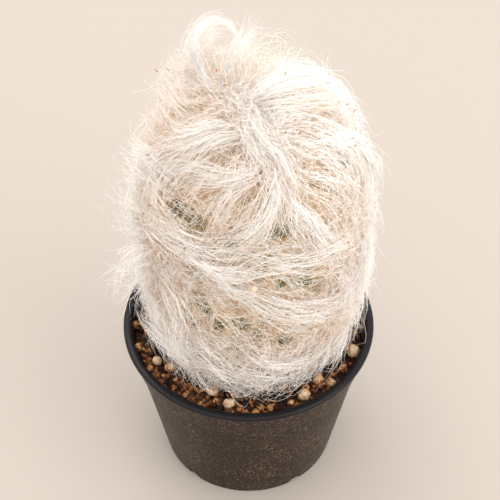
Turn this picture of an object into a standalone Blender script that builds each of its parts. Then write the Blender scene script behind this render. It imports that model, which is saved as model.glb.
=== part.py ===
"""A hairy column cactus in a round nursery pot: pot, soil, stem and wool, each one solid.

The plant stands upright in the pot's soil. Units are metres, +Z is up, and the origin is the
middle of the pot's base.
"""

import math
import random

import bmesh
import bpy
import numpy as np
from mathutils import Matrix, Vector, noise
from mathutils.bvhtree import BVHTree

MM = 0.001
GAP = 0.3 * MM
SEED = 27
CREASE = math.radians(38.0)

# Pot
RIM_RADIUS = 45.0 * MM
POT_HEIGHT = 62.0 * MM
BASE_RADIUS = 31.8 * MM
WALL = 1.2 * MM
FLOOR = 1.6 * MM
BASE_CHAMFER = 0.6 * MM
WALL_TOP_RADIUS = 43.2 * MM
COLLAR_HEIGHT = 13.5 * MM
COLLAR_STEP = 0.6 * MM
LIP_WIDTH = 3.1 * MM
LIP_HEIGHT = 2.4 * MM
LIP_CORNERS = 5
LIP_SWEEP = (-55.0, 200.0)
LIP_SQUARE = 0.7
LIP_TUCK = 0.2 * MM
POT_SIDES = 44
NOTCHES = 5
NOTCH_FIRST_ANGLE = -57.0
NOTCH_RADIUS = 2.5 * MM
NOTCH_DEPTH = 5.0 * MM
NOTCH_SIDES = 12

# Soil
SOIL_LEVEL = 56.2 * MM
SOIL_SIDES = 48
SOIL_RINGS = (22.0, 29.0, 33.0, 36.2, 39.0)
CRUMB_RELIEF = 0.8 * MM
CRUMB_SPAN = 4.0 * MM
CRUMBS = 20
CRUMB_SIZE = (0.9, 1.5)
CRUMB_RING = (33.0, 40.4)
GRAIN_ROOM = 1.15
PEBBLES = 20
PEBBLE_SIZE = (2.0, 2.9)
PEBBLE_RING = (35.5, 38.8)

# Stem
STEM_SHIFT = Vector((1.3, 0.3, 0.0)) * MM
STEM_RADIUS = 35.4 * MM
WIDEST_LEVEL = 108.0 * MM
CROWN_LEVEL = 157.0 * MM
CROWN_MIDDLE = 28.3 * MM
CROWN_ROUND = 2.9
CROWN_DIMPLE = 2.5 * MM
DIMPLE_WIDTH = 9.0 * MM
LOWER_REACH = 82.0 * MM
LOWER_ROUND = 2.4
STEM_FOOT = 59.0 * MM
GOLDEN_ANGLE = math.radians(137.507764)
TUBERCLE_AREA = 88.0 * MM * MM
TUBERCLE_DEPTH = 4.8 * MM
YOUNG_SHARE = 0.35
YOUNG_REACH = 24.0 * MM
NECK_RADIUS = 13.0 * MM
NECK_FOOT = 29.0 * MM
NECK_SIDES = 24
NECK_TAPER = 5.0 * MM
NECK_OVERLAP = 3.0 * MM
SPINES = 48
FIRST_SPINE = 14
SPINE_END = 8
SPINE_STRIDE = 89
SPINE_LENGTH = 7.5 * MM
SPINE_WIDTH = 0.75 * MM
SPINE_SUNK = 1.6 * MM
SPINE_LEAN = 0.18
SPINE_LIFT = (-0.06, 0.24)

# Wool
ROWS = 13
STRAND_DEPTH = 1.9 * MM
STRAND_RADIUS = 1.0 * MM
STRAND_START = 21.0 * MM
STRAND_END = 12
STRAND_PACE = 1.25
STRAND_RISE = 9.0 * MM
STRAND_CROWN = 0.9 * MM
STRAND_CORNERS = (270.0, 30.0, 150.0)
CAP_REACH = 23.5 * MM
CAP_THICKNESS = 2.4 * MM
CAP_LIFT = 0.55 * MM
CAP_EDGE = 1.4 * MM
CAP_SIDES = 26
CAP_RINGS = 5
CAP_FOLD = 0.5 * MM
CAP_FOLD_SHARE = 0.06
LOCK_EVERY = 18.5 * MM
LOCK_LENGTH = (21.0, 27.0)
LOCK_WIDTH = 6.8 * MM
LOCK_THICKNESS = 1.7 * MM
LOCK_STEPS = 5
LOCK_CLEAR = 0.9 * MM
LOCK_HEIGHT = (4.2, 6.2)
LOCK_STOP = 7.0 * MM
LOCK_CURL = 0.35
ROOT_SHARE = 0.45
NEXT_SHARE = 0.72
BODY_SHARE = 1.05
NARROWEST = 8.0 * MM
FRINGE_LEVEL = 58.9 * MM
FRINGE_REACH = 37.5 * MM
SWEEP = math.radians(62.0)
CROWN_LOCKS = 16
CROWN_LOCK_LENGTH = (24.0, 32.0)
CROWN_LOCK_HEIGHT = (7.0, 11.0)
CROWN_LOCK_ROOTS = (9.0, 20.0)
ROUTE_WIDTH = 5.0 * MM

# The crown's named locks, each a route in millimetres from the wool's whorl outwards
CROWN_ROUTES = {
    "big_loop": ((-6, 5, 157), (-13, 18, 159), (-19, 28, 162), (-17, 32, 167), (-10, 36, 170), (-4, 34, 166)),
    "upright_tuft": ((-4, 6, 157), (-6, 17, 162), (-3, 29, 164), (1, 34, 168), (3, 38, 173)),
    "back_sweep": ((1, 8, 157), (4, 14, 162), (9, 24, 164), (13, 31, 163)),
    "right_back_sweep": ((2, 5, 157), (9, 9, 163), (17, 14, 163), (25, 20, 158), (31, 20, 152)),
    "right_sweep": ((7, 0, 156), (14, 1, 163), (21, 1, 162), (30, -1, 156)),
    "right_arc": ((11, -12, 156), (21, -12, 161), (31, -6, 156), (39, 0, 144), (42, 2, 130)),
    "left_curl": ((4, -6, 156), (-6, -10, 163), (-17, -11, 162), (-26, -3, 159), (-29, 8, 158)),
    "left_back_sweep": ((-6, -1, 157), (-17, 1, 163), (-26, 13, 159), (-31, 23, 158)),
    "left_front_sweep": ((7, -13, 156), (-1, -23, 160), (-12, -26, 157), (-23, -21, 152)),
    "front_left_fall": ((9, -16, 155), (3, -27, 157), (-3, -34, 149), (-7, -38, 137)),
    "front_right_fall": ((12, -15, 155), (13, -26, 158), (17, -33, 149), (24, -33, 134)),
}


def lerp(low, high, share):
    return low + (high - low) * share


def smooth(share):
    share = min(max(share, 0.0), 1.0)
    return share * share * (3.0 - 2.0 * share)


def material(name, colour, roughness):
    made = bpy.data.materials.new(name)
    made.use_nodes = True
    shader = made.node_tree.nodes["Principled BSDF"]
    shader.inputs["Base Color"].default_value = (*colour, 1.0)
    shader.inputs["Roughness"].default_value = roughness
    return made


def add_object(name, bm, finish=None):
    mesh = bpy.data.meshes.new(name)
    bm.to_mesh(mesh)
    bm.free()
    made = bpy.data.objects.new(name, mesh)
    bpy.context.scene.collection.objects.link(made)
    if finish:
        mesh.materials.append(finish)
    return made


def lathe(profile, sides):
    """A closed bmesh turned round Z from (radius, height) points that start and end on the axis."""
    bm = bmesh.new()
    verts = [bm.verts.new((radius, 0.0, height)) for radius, height in profile]
    edges = [bm.edges.new(pair) for pair in zip(verts, verts[1:])]
    bmesh.ops.spin(
        bm, geom=verts + edges, cent=(0, 0, 0), axis=(0, 0, 1), angle=math.tau, steps=sides, use_merge=True
    )
    bmesh.ops.remove_doubles(bm, verts=bm.verts, dist=1e-6)
    bmesh.ops.recalc_face_normals(bm, faces=bm.faces)
    return bm


def combine(target, others, operation="UNION", solver="EXACT"):
    """Joins the other objects to the target, or cuts them from it, and removes them."""
    group = bpy.data.collections.new("helpers")
    bpy.context.scene.collection.children.link(group)
    for other in others:
        for holder in other.users_collection:
            holder.objects.unlink(other)
        group.objects.link(other)
    change = target.modifiers.new("combine", "BOOLEAN")
    change.operation = operation
    change.operand_type = "COLLECTION"
    change.collection = group
    change.solver = solver
    bpy.context.view_layer.update()
    graph = bpy.context.evaluated_depsgraph_get()
    joined = bpy.data.meshes.new_from_object(target.evaluated_get(graph))
    target.modifiers.remove(change)
    target.data = joined
    joined.name = target.name
    for other in others:
        bpy.data.objects.remove(other)
    bpy.data.collections.remove(group)


def keep_one_body(target):
    """Drops loose scraps and the shells of sealed hollows, and leaves triangles."""
    bm = bmesh.new()
    bm.from_mesh(target.data)
    bmesh.ops.triangulate(bm, faces=bm.faces)
    bm.faces.ensure_lookup_table()
    unseen = set(bm.faces)
    groups = []
    while unseen:
        todo = [unseen.pop()]
        group = list(todo)
        while todo:
            for edge in todo.pop().edges:
                for face in edge.link_faces:
                    if face in unseen:
                        unseen.discard(face)
                        todo.append(face)
                        group.append(face)
        groups.append(group)
    groups.sort(key=len)
    scraps = [face for group in groups[:-1] for face in group]
    bmesh.ops.delete(bm, geom=scraps, context="FACES")
    bm.to_mesh(target.data)
    bm.free()


# The stem's outline through its tubercle tips, as a curve from the crown down, and places on it


def crown_outline(turn):
    """A point of the rounded crown: turn is 0 on the axis and a quarter turn at the widest level."""
    radius = STEM_RADIUS * math.sin(turn) ** (2.0 / CROWN_ROUND)
    height = (CROWN_LEVEL - WIDEST_LEVEL) * math.cos(turn) ** (2.0 / CROWN_ROUND)
    dimple = CROWN_DIMPLE * math.exp(-((radius / DIMPLE_WIDTH) ** 2))
    return radius, WIDEST_LEVEL + height - dimple


def lower_outline(height):
    drop = (WIDEST_LEVEL - height) / LOWER_REACH
    return STEM_RADIUS * (1.0 - drop**LOWER_ROUND) ** (1.0 / LOWER_ROUND), height


def stem_outline(steps=300):
    """Radius, height, length run from the crown, and area run from the crown, along the outline."""
    points = [crown_outline((math.pi / 2) * (i / steps) ** 1.5) for i in range(steps)]
    points += [lower_outline(lerp(WIDEST_LEVEL, STEM_FOOT, i / steps)) for i in range(steps + 1)]
    points = np.array(points)
    points[0, 0] = 0.0
    pieces = np.hypot(*np.diff(points, axis=0).T)
    run = np.concatenate([[0.0], np.cumsum(pieces)])
    rings = math.tau * (points[1:, 0] + points[:-1, 0]) / 2 * pieces
    area = np.concatenate([[0.0], np.cumsum(rings)])
    return points[:, 0], points[:, 1], run, area


OUTLINE_RADIUS, OUTLINE_HEIGHT, OUTLINE_RUN, OUTLINE_AREA = stem_outline()
TUBERCLES = int(OUTLINE_AREA[-1] / TUBERCLE_AREA)


def run_of(count):
    """The length run from the crown down to tubercle number count."""
    return float(np.interp(count * TUBERCLE_AREA, OUTLINE_AREA, OUTLINE_RUN))


def count_at(run):
    return float(np.interp(run, OUTLINE_RUN, OUTLINE_AREA)) / TUBERCLE_AREA


def radius_at(run):
    return float(np.interp(run, OUTLINE_RUN, OUTLINE_RADIUS))


def place(angle, run, height=0.0):
    """The point at this angle and length run from the crown, height above the tips' surface."""
    step = 0.4 * MM
    kept = min(run, OUTLINE_RUN[-1] - step)
    radius, level = (float(np.interp(kept, OUTLINE_RUN, part)) for part in (OUTLINE_RADIUS, OUTLINE_HEIGHT))
    along_r = float(np.interp(kept + step, OUTLINE_RUN, OUTLINE_RADIUS)) - radius
    along_z = float(np.interp(kept + step, OUTLINE_RUN, OUTLINE_HEIGHT)) - level
    size = math.hypot(along_r, along_z)
    radius -= along_z / size * height
    level += along_r / size * height
    level -= run - kept
    return Vector((radius * math.cos(angle), radius * math.sin(angle), level)) + STEM_SHIFT


def outward(angle, run):
    return (place(angle, run, MM) - place(angle, run, 0.0)).normalized()


def row_angle(row, count):
    """The angle of a groove between two of the spiral rows, level with tubercle number count."""
    step = (ROWS * GOLDEN_ANGLE + math.pi) % math.tau - math.pi
    return (row + 0.5) * math.tau / ROWS + step * count / ROWS


# Pot


def pot_radius(height):
    """The outer radius of the straight wall, without the collar's step."""
    return lerp(BASE_RADIUS, WALL_TOP_RADIUS, height / POT_HEIGHT)


def pot_profile():
    collar = POT_HEIGHT - COLLAR_HEIGHT
    lip_foot = POT_HEIGHT - LIP_HEIGHT
    lip_middle = (RIM_RADIUS - LIP_WIDTH / 2, POT_HEIGHT - LIP_HEIGHT / 2)
    points = [(0.0, 0.0), (BASE_RADIUS - BASE_CHAMFER, 0.0)]
    points += [(pot_radius(BASE_CHAMFER), BASE_CHAMFER)]
    points += [(pot_radius(collar - COLLAR_STEP), collar - COLLAR_STEP)]
    points += [(pot_radius(collar) + COLLAR_STEP, collar)]
    points += [(pot_radius(lip_foot) + COLLAR_STEP, lip_foot + LIP_TUCK)]
    for i in range(LIP_CORNERS + 1):
        turn = math.radians(lerp(*LIP_SWEEP, i / LIP_CORNERS))
        out = math.copysign(abs(math.cos(turn)) ** LIP_SQUARE, math.cos(turn))
        up = math.copysign(abs(math.sin(turn)) ** LIP_SQUARE, math.sin(turn))
        points += [(lip_middle[0] + LIP_WIDTH / 2 * out, lip_middle[1] + LIP_HEIGHT / 2 * up)]
    points += [(pot_radius(lip_foot) - WALL, lip_foot - MM)]
    points += [(pot_radius(FLOOR) - WALL, FLOOR), (0.0, FLOOR)]
    return points


def notch_cutters():
    """Round-topped cutters through the wall and the floor's edge, evenly round the base."""
    cutters = []
    for i in range(NOTCHES):
        turn = math.radians(NOTCH_FIRST_ANGLE + i * 360.0 / NOTCHES)
        bm = bmesh.new()
        bmesh.ops.create_cone(
            bm,
            cap_ends=True,
            segments=NOTCH_SIDES,
            radius1=NOTCH_RADIUS,
            radius2=NOTCH_RADIUS,
            depth=NOTCH_DEPTH,
            matrix=Matrix.Rotation(turn, 4, "Z")
            @ Matrix.Translation((BASE_RADIUS, 0.0, 0.0))
            @ Matrix.Rotation(math.pi / 2, 4, "Y"),
        )
        cutters.append(add_object(f"notch_cutter_{i}", bm))
    return cutters


def make_pot():
    finish = material("pot_plastic", (0.062, 0.050, 0.042), 0.45)
    pot = add_object("pot", lathe(pot_profile(), POT_SIDES), finish)
    combine(pot, notch_cutters(), operation="DIFFERENCE")
    return pot


# Stem


def sphere_place(angle, run):
    """Where the tubercle goes on a sphere that keeps angles, so that a hull there joins neighbours."""
    widest = float(np.interp(WIDEST_LEVEL, OUTLINE_HEIGHT[::-1], OUTLINE_RUN[::-1]))
    runs = np.linspace(widest, max(run, 0.2 * MM), 200)
    reach = -float(np.sum(np.diff(runs) / np.interp(runs[:-1], OUTLINE_RUN, OUTLINE_RADIUS + 0.05 * MM)))
    return Vector(
        (math.cos(angle) / math.cosh(reach), math.sin(angle) / math.cosh(reach), math.tanh(reach))
    )


def tubercle_depth(run):
    """The tubercles are small at the crown and full size from its shoulder down."""
    return TUBERCLE_DEPTH * lerp(YOUNG_SHARE, 1.0, smooth(run / YOUNG_REACH))


def make_stem():
    """Tips on the golden-angle spiral, joined to their neighbours, with the skin between sunk in."""
    bm = bmesh.new()
    number = bm.verts.layers.int.new("number")
    spots = [(count * GOLDEN_ANGLE, run_of(count + 0.5)) for count in range(TUBERCLES)]
    for count, spot in enumerate(spots, start=1):
        bm.verts.new(sphere_place(*spot))[number] = count
    pole_number = TUBERCLES + 1
    bm.verts.new((0.0, 0.0, -1.0))[number] = pole_number
    bmesh.ops.convex_hull(bm, input=bm.verts)
    skin = [face for face in bm.faces if all(vert[number] != pole_number for vert in face.verts)]
    inside = set(skin)
    ridges = [edge for edge in bm.edges if inside.issuperset(edge.link_faces)]
    for vert in bm.verts:
        if vert[number] == pole_number:
            vert.co = Vector((0.0, 0.0, STEM_FOOT - 0.5 * MM)) + STEM_SHIFT
        else:
            vert.co = place(*spots[vert[number] - 1])
    tips = {vert.co.to_tuple(6) for vert in bm.verts}
    bmesh.ops.poke(bm, faces=skin)
    bmesh.ops.rotate_edges(bm, edges=ridges)
    for vert in [vert for vert in bm.verts if vert.co.to_tuple(6) not in tips]:
        flat = vert.co - STEM_SHIFT
        nearest = int(np.argmin(np.hypot(OUTLINE_RADIUS - flat.xy.length, OUTLINE_HEIGHT - flat.z)))
        run = float(OUTLINE_RUN[nearest])
        vert.co = place(math.atan2(flat.y, flat.x), run, -tubercle_depth(run))
    bmesh.ops.triangulate(bm, faces=bm.faces)
    bmesh.ops.recalc_face_normals(bm, faces=bm.faces)
    finish = material("stem_skin", (0.075, 0.115, 0.045), 0.6)
    stem = add_object("stem", bm, finish)
    neck = lathe(
        [
            (0.0, NECK_FOOT),
            (NECK_RADIUS * 0.8, NECK_FOOT),
            (NECK_RADIUS, NECK_FOOT + NECK_TAPER),
            (NECK_RADIUS, STEM_FOOT + NECK_OVERLAP),
            (0.0, STEM_FOOT + NECK_OVERLAP),
        ],
        NECK_SIDES,
    )
    bmesh.ops.translate(neck, verts=neck.verts, vec=STEM_SHIFT)
    combine(stem, [add_object("root_neck", neck)])
    return stem


def spine_cone(angle, run, draws):
    """A three-sided needle from a tubercle tip, its root sunk in the tubercle."""
    tip = place(angle, run)
    lean = [draws.uniform(-SPINE_LEAN, SPINE_LEAN) for _ in range(2)]
    aim = (outward(angle, run) + Vector((*lean, draws.uniform(*SPINE_LIFT)))).normalized()
    bm = bmesh.new()
    bmesh.ops.create_cone(
        bm,
        cap_ends=True,
        segments=3,
        radius1=SPINE_WIDTH / 2,
        radius2=SPINE_WIDTH / 6,
        depth=SPINE_LENGTH + SPINE_SUNK,
        matrix=Matrix.Translation(tip + aim * (SPINE_LENGTH - SPINE_SUNK) / 2)
        @ aim.to_track_quat("Z", "Y").to_matrix().to_4x4(),
    )
    return bm


def add_spines(stem, wool):
    """Spines on the tubercles where they stand clear of the wool, spread over the whole stem."""
    draws = random.Random(SEED + 1)
    wool_tree = tree_of(wool)
    cones = []
    spread = TUBERCLES - SPINE_END - FIRST_SPINE
    for i in range(spread):
        if len(cones) >= SPINES:
            break
        tubercle = FIRST_SPINE + i * SPINE_STRIDE % spread
        angle, run = tubercle * GOLDEN_ANGLE, run_of(tubercle + 0.5)
        bm = spine_cone(angle, run, draws)
        shares = [0.2 + 0.1 * i for i in range(9)]
        points = [low.lerp(high, share) for low, high in spine_ends(bm) for share in shares]
        near = min(distance_to(wool_tree, point) for point in points)
        if near < GAP * 1.5 or wool_tree.overlap(BVHTree.FromBMesh(bm)):
            bm.free()
            continue
        cones.append(add_object(f"spine_{i}", bm))
    combine(stem, cones, solver="MANIFOLD")
    keep_one_body(stem)


def spine_ends(bm):
    """Each long edge of a needle, from its root to its point."""
    return [
        sorted((vert.co for vert in edge.verts), key=lambda point: (point - STEM_SHIFT).xy.length)
        for edge in bm.edges
        if edge.calc_length() > SPINE_LENGTH / 2
    ]


# Wool


def strand_height(run):
    """A strand lies in its groove, and rises at the crown to join the woolly cap."""
    return lerp(STRAND_CROWN, -STRAND_DEPTH, smooth((run - STRAND_START - MM) / STRAND_RISE))


def tube(path, section):
    """A closed bmesh along a path: section(i) gives the points round path[i], in world space."""
    bm = bmesh.new()
    rings = [[bm.verts.new(point) for point in section(i)] for i in range(len(path))]
    for low, high in zip(rings, rings[1:]):
        sides = max(len(low), len(high))
        for k in range(sides):
            corners = [low[k % len(low)], low[(k + 1) % len(low)]]
            corners += [high[(k + 1) % len(high)], high[k % len(high)]]
            bm.faces.new(list(dict.fromkeys(corners)))
    for ring in (rings[0], rings[-1]):
        if len(ring) > 2:
            bm.faces.new(ring)
    bmesh.ops.triangulate(bm, faces=bm.faces)
    bmesh.ops.recalc_face_normals(bm, faces=bm.faces)
    return bm


def frames(path, away):
    """For each point of the path, its unit directions outward (given) and sideways."""
    result = []
    for i, point in enumerate(path):
        along = (path[min(i + 1, len(path) - 1)] - path[max(i - 1, 0)]).normalized()
        side = along.cross(away[i]).normalized()
        result.append((side.cross(along).normalized(), side))
    return result


def strand(row):
    """One helical strand of axil wool, down a groove from the crown's cap to the stem's foot."""
    first = count_at(STRAND_START)
    last = TUBERCLES - STRAND_END
    steps = round((last - first) / ROWS / STRAND_PACE)
    path, away = [], []
    for i in range(steps + 1):
        count = lerp(first, last, i / steps)
        run = run_of(count)
        angle = row_angle(row, count)
        path.append(place(angle, run, strand_height(run)))
        away.append(outward(angle, run))
    turned = frames(path, away)

    def section(i):
        up, side = (STRAND_RADIUS * way for way in turned[i])
        turns = [math.radians(corner) for corner in STRAND_CORNERS]
        return [path[i] + up * math.sin(turn) + side * math.cos(turn) for turn in turns]

    return tube(path, section)


def make_cap():
    """The wool that covers the crown: a thin cushion over the tips, in radial folds."""
    runs = [CAP_REACH * i / CAP_RINGS for i in range(CAP_RINGS)]
    bm = bmesh.new()

    def ring(run, height, folds):
        if run == 0.0:
            return [bm.verts.new(place(0.0, GAP, height))]
        made = []
        for i in range(CAP_SIDES):
            angle = i * math.tau / CAP_SIDES
            wave = (1.0 if i % 2 else -1.0) * folds
            reach = run * (1.0 + CAP_FOLD_SHARE * wave)
            made.append(bm.verts.new(place(angle, reach, height + CAP_FOLD * wave)))
        return made

    rings = [ring(run, CAP_LIFT, 0.0) for run in runs]
    rings.append(ring(CAP_REACH, CAP_EDGE, 0.6))
    rings += [ring(run, CAP_LIFT + CAP_THICKNESS, 1.0) for run in reversed(runs)]
    for inner, outer in zip(rings, rings[1:]):
        for k in range(CAP_SIDES):
            corners = [inner[k % len(inner)], inner[(k + 1) % len(inner)]]
            corners += [outer[(k + 1) % len(outer)], outer[k % len(outer)]]
            bm.faces.new(list(dict.fromkeys(corners)))
    bmesh.ops.triangulate(bm, faces=bm.faces)
    bmesh.ops.recalc_face_normals(bm, faces=bm.faces)
    return bm


def flow(angle, run):
    """The way the hair lies: the turn away from straight down the stem, in smooth swirls."""
    broad = math.sin(2.0 * angle + run / (17.0 * MM) + 0.6)
    fine = math.sin(5.0 * angle - run / (11.0 * MM))
    return SWEEP * (broad + 0.5 * fine) / 1.3


def lock_path(angle, run, draws):
    """The middle line of a lock that rises from its strand, and then lies over the tubercles."""
    length = draws.uniform(*LOCK_LENGTH) * MM
    crest = draws.uniform(*LOCK_HEIGHT) * MM
    turn = flow(angle, run) + draws.uniform(-0.12, 0.12)
    curl = draws.uniform(-LOCK_CURL, LOCK_CURL)
    path = [place(angle, run, strand_height(run)), place(angle, run, LOCK_CLEAR)]
    step = length / LOCK_STEPS
    for i in range(1, LOCK_STEPS + 1):
        share = i / LOCK_STEPS
        heading = turn + curl * share
        pace = step * (0.6 if i == 1 else 1.0)
        run += pace * math.cos(heading)
        angle += pace * math.sin(heading) / max(radius_at(run), NARROWEST)
        point = place(angle, run, LOCK_CLEAR + crest * (0.16 + 0.84 * share))
        path.append(off_the_soil(point, angle))
    return path


def off_the_soil(point, angle):
    """A point that would reach the soil is lifted clear of it and moved out, inside the rim."""
    drop = FRINGE_LEVEL - point.z
    if drop <= 0.0:
        return point
    out = Vector((math.cos(angle), math.sin(angle), 0.0))
    reach = min((point - STEM_SHIFT).xy.length + 0.5 * drop, FRINGE_REACH)
    return STEM_SHIFT + out * reach + Vector((0.0, 0.0, FRINGE_LEVEL))


def crown_lock_path(angle, run, draws):
    """A longer lock that rises from the crown's cap and arches outwards."""
    length = draws.uniform(*CROWN_LOCK_LENGTH) * MM
    crest = draws.uniform(*CROWN_LOCK_HEIGHT) * MM
    turn = draws.uniform(-0.5, 0.5)
    path = [place(angle, run, 0.4 * CAP_THICKNESS)]
    step = length / LOCK_STEPS
    for i in range(1, LOCK_STEPS + 1):
        share = i / LOCK_STEPS
        run += step * math.cos(turn)
        angle += step * math.sin(turn) / max(radius_at(run), NARROWEST)
        path.append(place(angle, run, CAP_THICKNESS + crest * smooth(1.6 * share)))
    return path


def backs_of(path):
    """The outward direction at each point: away from the middle of the rounded column."""
    backs = []
    for point in path:
        core = min(point.z, CROWN_LEVEL - CROWN_MIDDLE)
        backs.append((point - STEM_SHIFT - Vector((0.0, 0.0, core))).normalized())
    rise = (path[1] - path[0]).normalized()
    ahead = path[2] - path[1]
    if abs(rise.dot(backs[0])) > 0.8:
        backs[0] = (rise * ahead.dot(rise) - ahead).normalized()
        backs[1] = (backs[0] + rise).normalized()
    return backs


def lock(path, width):
    """A flat tapered lock along its path, slim at the root and pointed at the end."""
    turned = frames(path, backs_of(path))
    last = len(path) - 1

    def section(i):
        if i == last:
            return [path[i]]
        up, side = turned[i]
        share = i / last
        spread = (ROOT_SHARE, NEXT_SHARE)[i] if i < 2 else BODY_SHARE
        half = 0.5 * width * (1.0 - 0.7 * share) * spread
        thick = LOCK_THICKNESS * (1.0 - 0.5 * share)
        low = path[i] - up * 0.3 * thick
        return [path[i] + up * 0.7 * thick, low + side * half, low - side * half]

    return tube(path, section)


def make_wool():
    """Strands in every groove, the crown's cap, and locks rooted along the strands and on the cap."""
    draws = random.Random(SEED)
    pieces = [strand(row) for row in range(ROWS)]
    for row in range(ROWS):
        run = STRAND_START + LOCK_EVERY * (0.25 + (row * 5 % ROWS) / ROWS)
        while run < OUTLINE_RUN[-1] - LOCK_STOP:
            count = count_at(run)
            width = LOCK_WIDTH * draws.uniform(0.8, 1.15)
            pieces.append(lock(lock_path(row_angle(row, count), run, draws), width))
            here = place(row_angle(row, count), run)
            ahead = place(row_angle(row, count + ROWS), run_of(count + ROWS))
            run += LOCK_EVERY * (run_of(count + ROWS) - run) / max((ahead - here).length, MM)
    for i in range(CROWN_LOCKS):
        run = lerp(*CROWN_LOCK_ROOTS, (i * 7 % CROWN_LOCKS) / CROWN_LOCKS) * MM
        pieces.append(lock(crown_lock_path(i * math.tau / CROWN_LOCKS, run, draws), LOCK_WIDTH))
    for route in CROWN_ROUTES.values():
        pieces.append(lock([Vector(point) * MM for point in route], ROUTE_WIDTH))
    finish = material("wool_fibre", (0.78, 0.72, 0.62), 0.9)
    wool = add_object("wool", make_cap(), finish)
    combine(wool, [add_object(f"tuft_{i}", bm) for i, bm in enumerate(pieces)], solver="MANIFOLD")
    keep_one_body(wool)
    return wool


# Soil


def tree_of(target):
    mesh = target.data
    mesh.calc_loop_triangles()
    return BVHTree.FromPolygons(
        [vert.co.copy() for vert in mesh.vertices], [tuple(tri.vertices) for tri in mesh.loop_triangles]
    )


def distance_to(tree, point):
    return tree.find_nearest(point)[3]


def soil_side(height):
    return pot_radius(height) - WALL - GAP


def grain(spot, size, draws):
    """One rounded grain, a little squashed and turned."""
    bm = bmesh.new()
    if size > CRUMB_SIZE[1] * MM:
        bmesh.ops.create_uvsphere(bm, u_segments=7, v_segments=5, radius=size)
    else:
        bmesh.ops.create_icosphere(bm, subdivisions=1, radius=size)
    turned = Matrix.Rotation(draws.uniform(0.0, math.tau), 4, "Z")
    sides = (draws.uniform(0.9, 1.12), draws.uniform(0.88, 1.05), draws.uniform(0.8, 1.0))
    matrix = Matrix.Translation(spot) @ turned @ Matrix.Diagonal((*sides, 1.0))
    bmesh.ops.transform(bm, matrix=matrix, verts=bm.verts)
    return bm


def make_soil(wool, stem):
    """The filling of the pot, with a plain hole for the root neck and grains lying in its top."""
    draws = random.Random(SEED + 2)
    hole = NECK_RADIUS + GAP + STEM_SHIFT.length
    top_side = soil_side(SOIL_LEVEL)
    bottom = FLOOR + GAP
    profile = [(0.0, NECK_FOOT - GAP), (hole, NECK_FOOT - GAP), (hole, SOIL_LEVEL)]
    profile += [(ring * MM, SOIL_LEVEL) for ring in SOIL_RINGS]
    profile += [(top_side, SOIL_LEVEL), (soil_side(bottom), bottom), (0.0, bottom)]
    bm = lathe(profile, SOIL_SIDES)
    for vert in bm.verts:
        reach = vert.co.xy.length
        if vert.co.z > SOIL_LEVEL - GAP and hole + MM < reach < top_side - MM:
            vert.co.z += CRUMB_RELIEF * noise.noise(vert.co / CRUMB_SPAN)
    finish = material("soil_mix", (0.115, 0.066, 0.040), 0.95)
    soil = add_object("soil", bm, finish)
    trees = [tree_of(wool), tree_of(stem)]
    grains = []
    for i in range(PEBBLES + CRUMBS):
        pebble = i < PEBBLES
        size = draws.uniform(*(PEBBLE_SIZE if pebble else CRUMB_SIZE)) * MM
        ring = draws.uniform(*(PEBBLE_RING if pebble else CRUMB_RING)) * MM
        angle = i * GOLDEN_ANGLE
        if pebble:
            angle = (i + draws.uniform(-0.25, 0.25)) * math.tau / PEBBLES
        ring = min(ring, top_side - size - GAP)
        spot = Vector((ring * math.cos(angle), ring * math.sin(angle), SOIL_LEVEL + 0.4 * size))
        clear = min(distance_to(tree, spot) for tree in trees)
        room = size * GRAIN_ROOM + GAP
        if clear < room:
            spot.z -= room - clear
        if spot.z > SOIL_LEVEL - 0.45 * size:
            grains.append(add_object(f"grain_{i}", grain(spot, size, draws)))
    combine(soil, grains, solver="MANIFOLD")
    keep_one_body(soil)
    return soil


def clear_scene():
    for item in list(bpy.data.objects):
        bpy.data.objects.remove(item, do_unlink=True)


def main():
    clear_scene()
    make_pot()
    stem = make_stem()
    wool = make_wool()
    add_spines(stem, wool)
    make_soil(wool, stem)
    for item in bpy.context.scene.objects:
        item.data.shade_smooth()
        item.data.set_sharp_from_angle(angle=CREASE)


main()
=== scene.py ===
"""A potted old lady cactus: nursery pot, soil, spiny stem and long white hair.

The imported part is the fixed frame. The pot, the soil and the stem are made again with finer
surfaces in the places of their nodes, and the wool becomes fine hairs along the same locks.
"""

import math
import random

import bmesh
import bpy
import numpy as np
from bpy.props import FloatProperty, FloatVectorProperty, IntProperty, PointerProperty
from mathutils import Euler, Matrix, Vector, noise


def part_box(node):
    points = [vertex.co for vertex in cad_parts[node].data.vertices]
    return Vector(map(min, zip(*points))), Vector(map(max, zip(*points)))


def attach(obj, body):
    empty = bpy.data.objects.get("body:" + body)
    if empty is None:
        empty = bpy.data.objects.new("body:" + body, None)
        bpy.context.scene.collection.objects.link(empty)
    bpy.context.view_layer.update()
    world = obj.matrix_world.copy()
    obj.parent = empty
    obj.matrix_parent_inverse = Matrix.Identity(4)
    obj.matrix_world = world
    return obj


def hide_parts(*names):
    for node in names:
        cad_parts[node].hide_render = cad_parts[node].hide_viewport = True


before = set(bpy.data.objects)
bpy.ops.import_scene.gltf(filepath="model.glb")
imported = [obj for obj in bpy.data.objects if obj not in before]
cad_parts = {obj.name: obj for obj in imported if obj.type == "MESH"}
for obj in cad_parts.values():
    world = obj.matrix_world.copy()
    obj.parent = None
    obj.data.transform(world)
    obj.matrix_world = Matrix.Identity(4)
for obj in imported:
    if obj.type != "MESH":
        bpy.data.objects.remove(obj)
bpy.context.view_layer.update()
POT_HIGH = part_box("pot")[1]

bl_info = {
    "name": "Potted Old Lady Cactus",
    "version": (1, 0, 0),
    "blender": (4, 5, 0),
    "location": "3D View > Sidebar > Cactus",
    "description": "Builds a hairy column cactus in a nursery pot on its packed frame",
    "category": "Object",
}

MM = 0.001
SEED = 27

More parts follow.
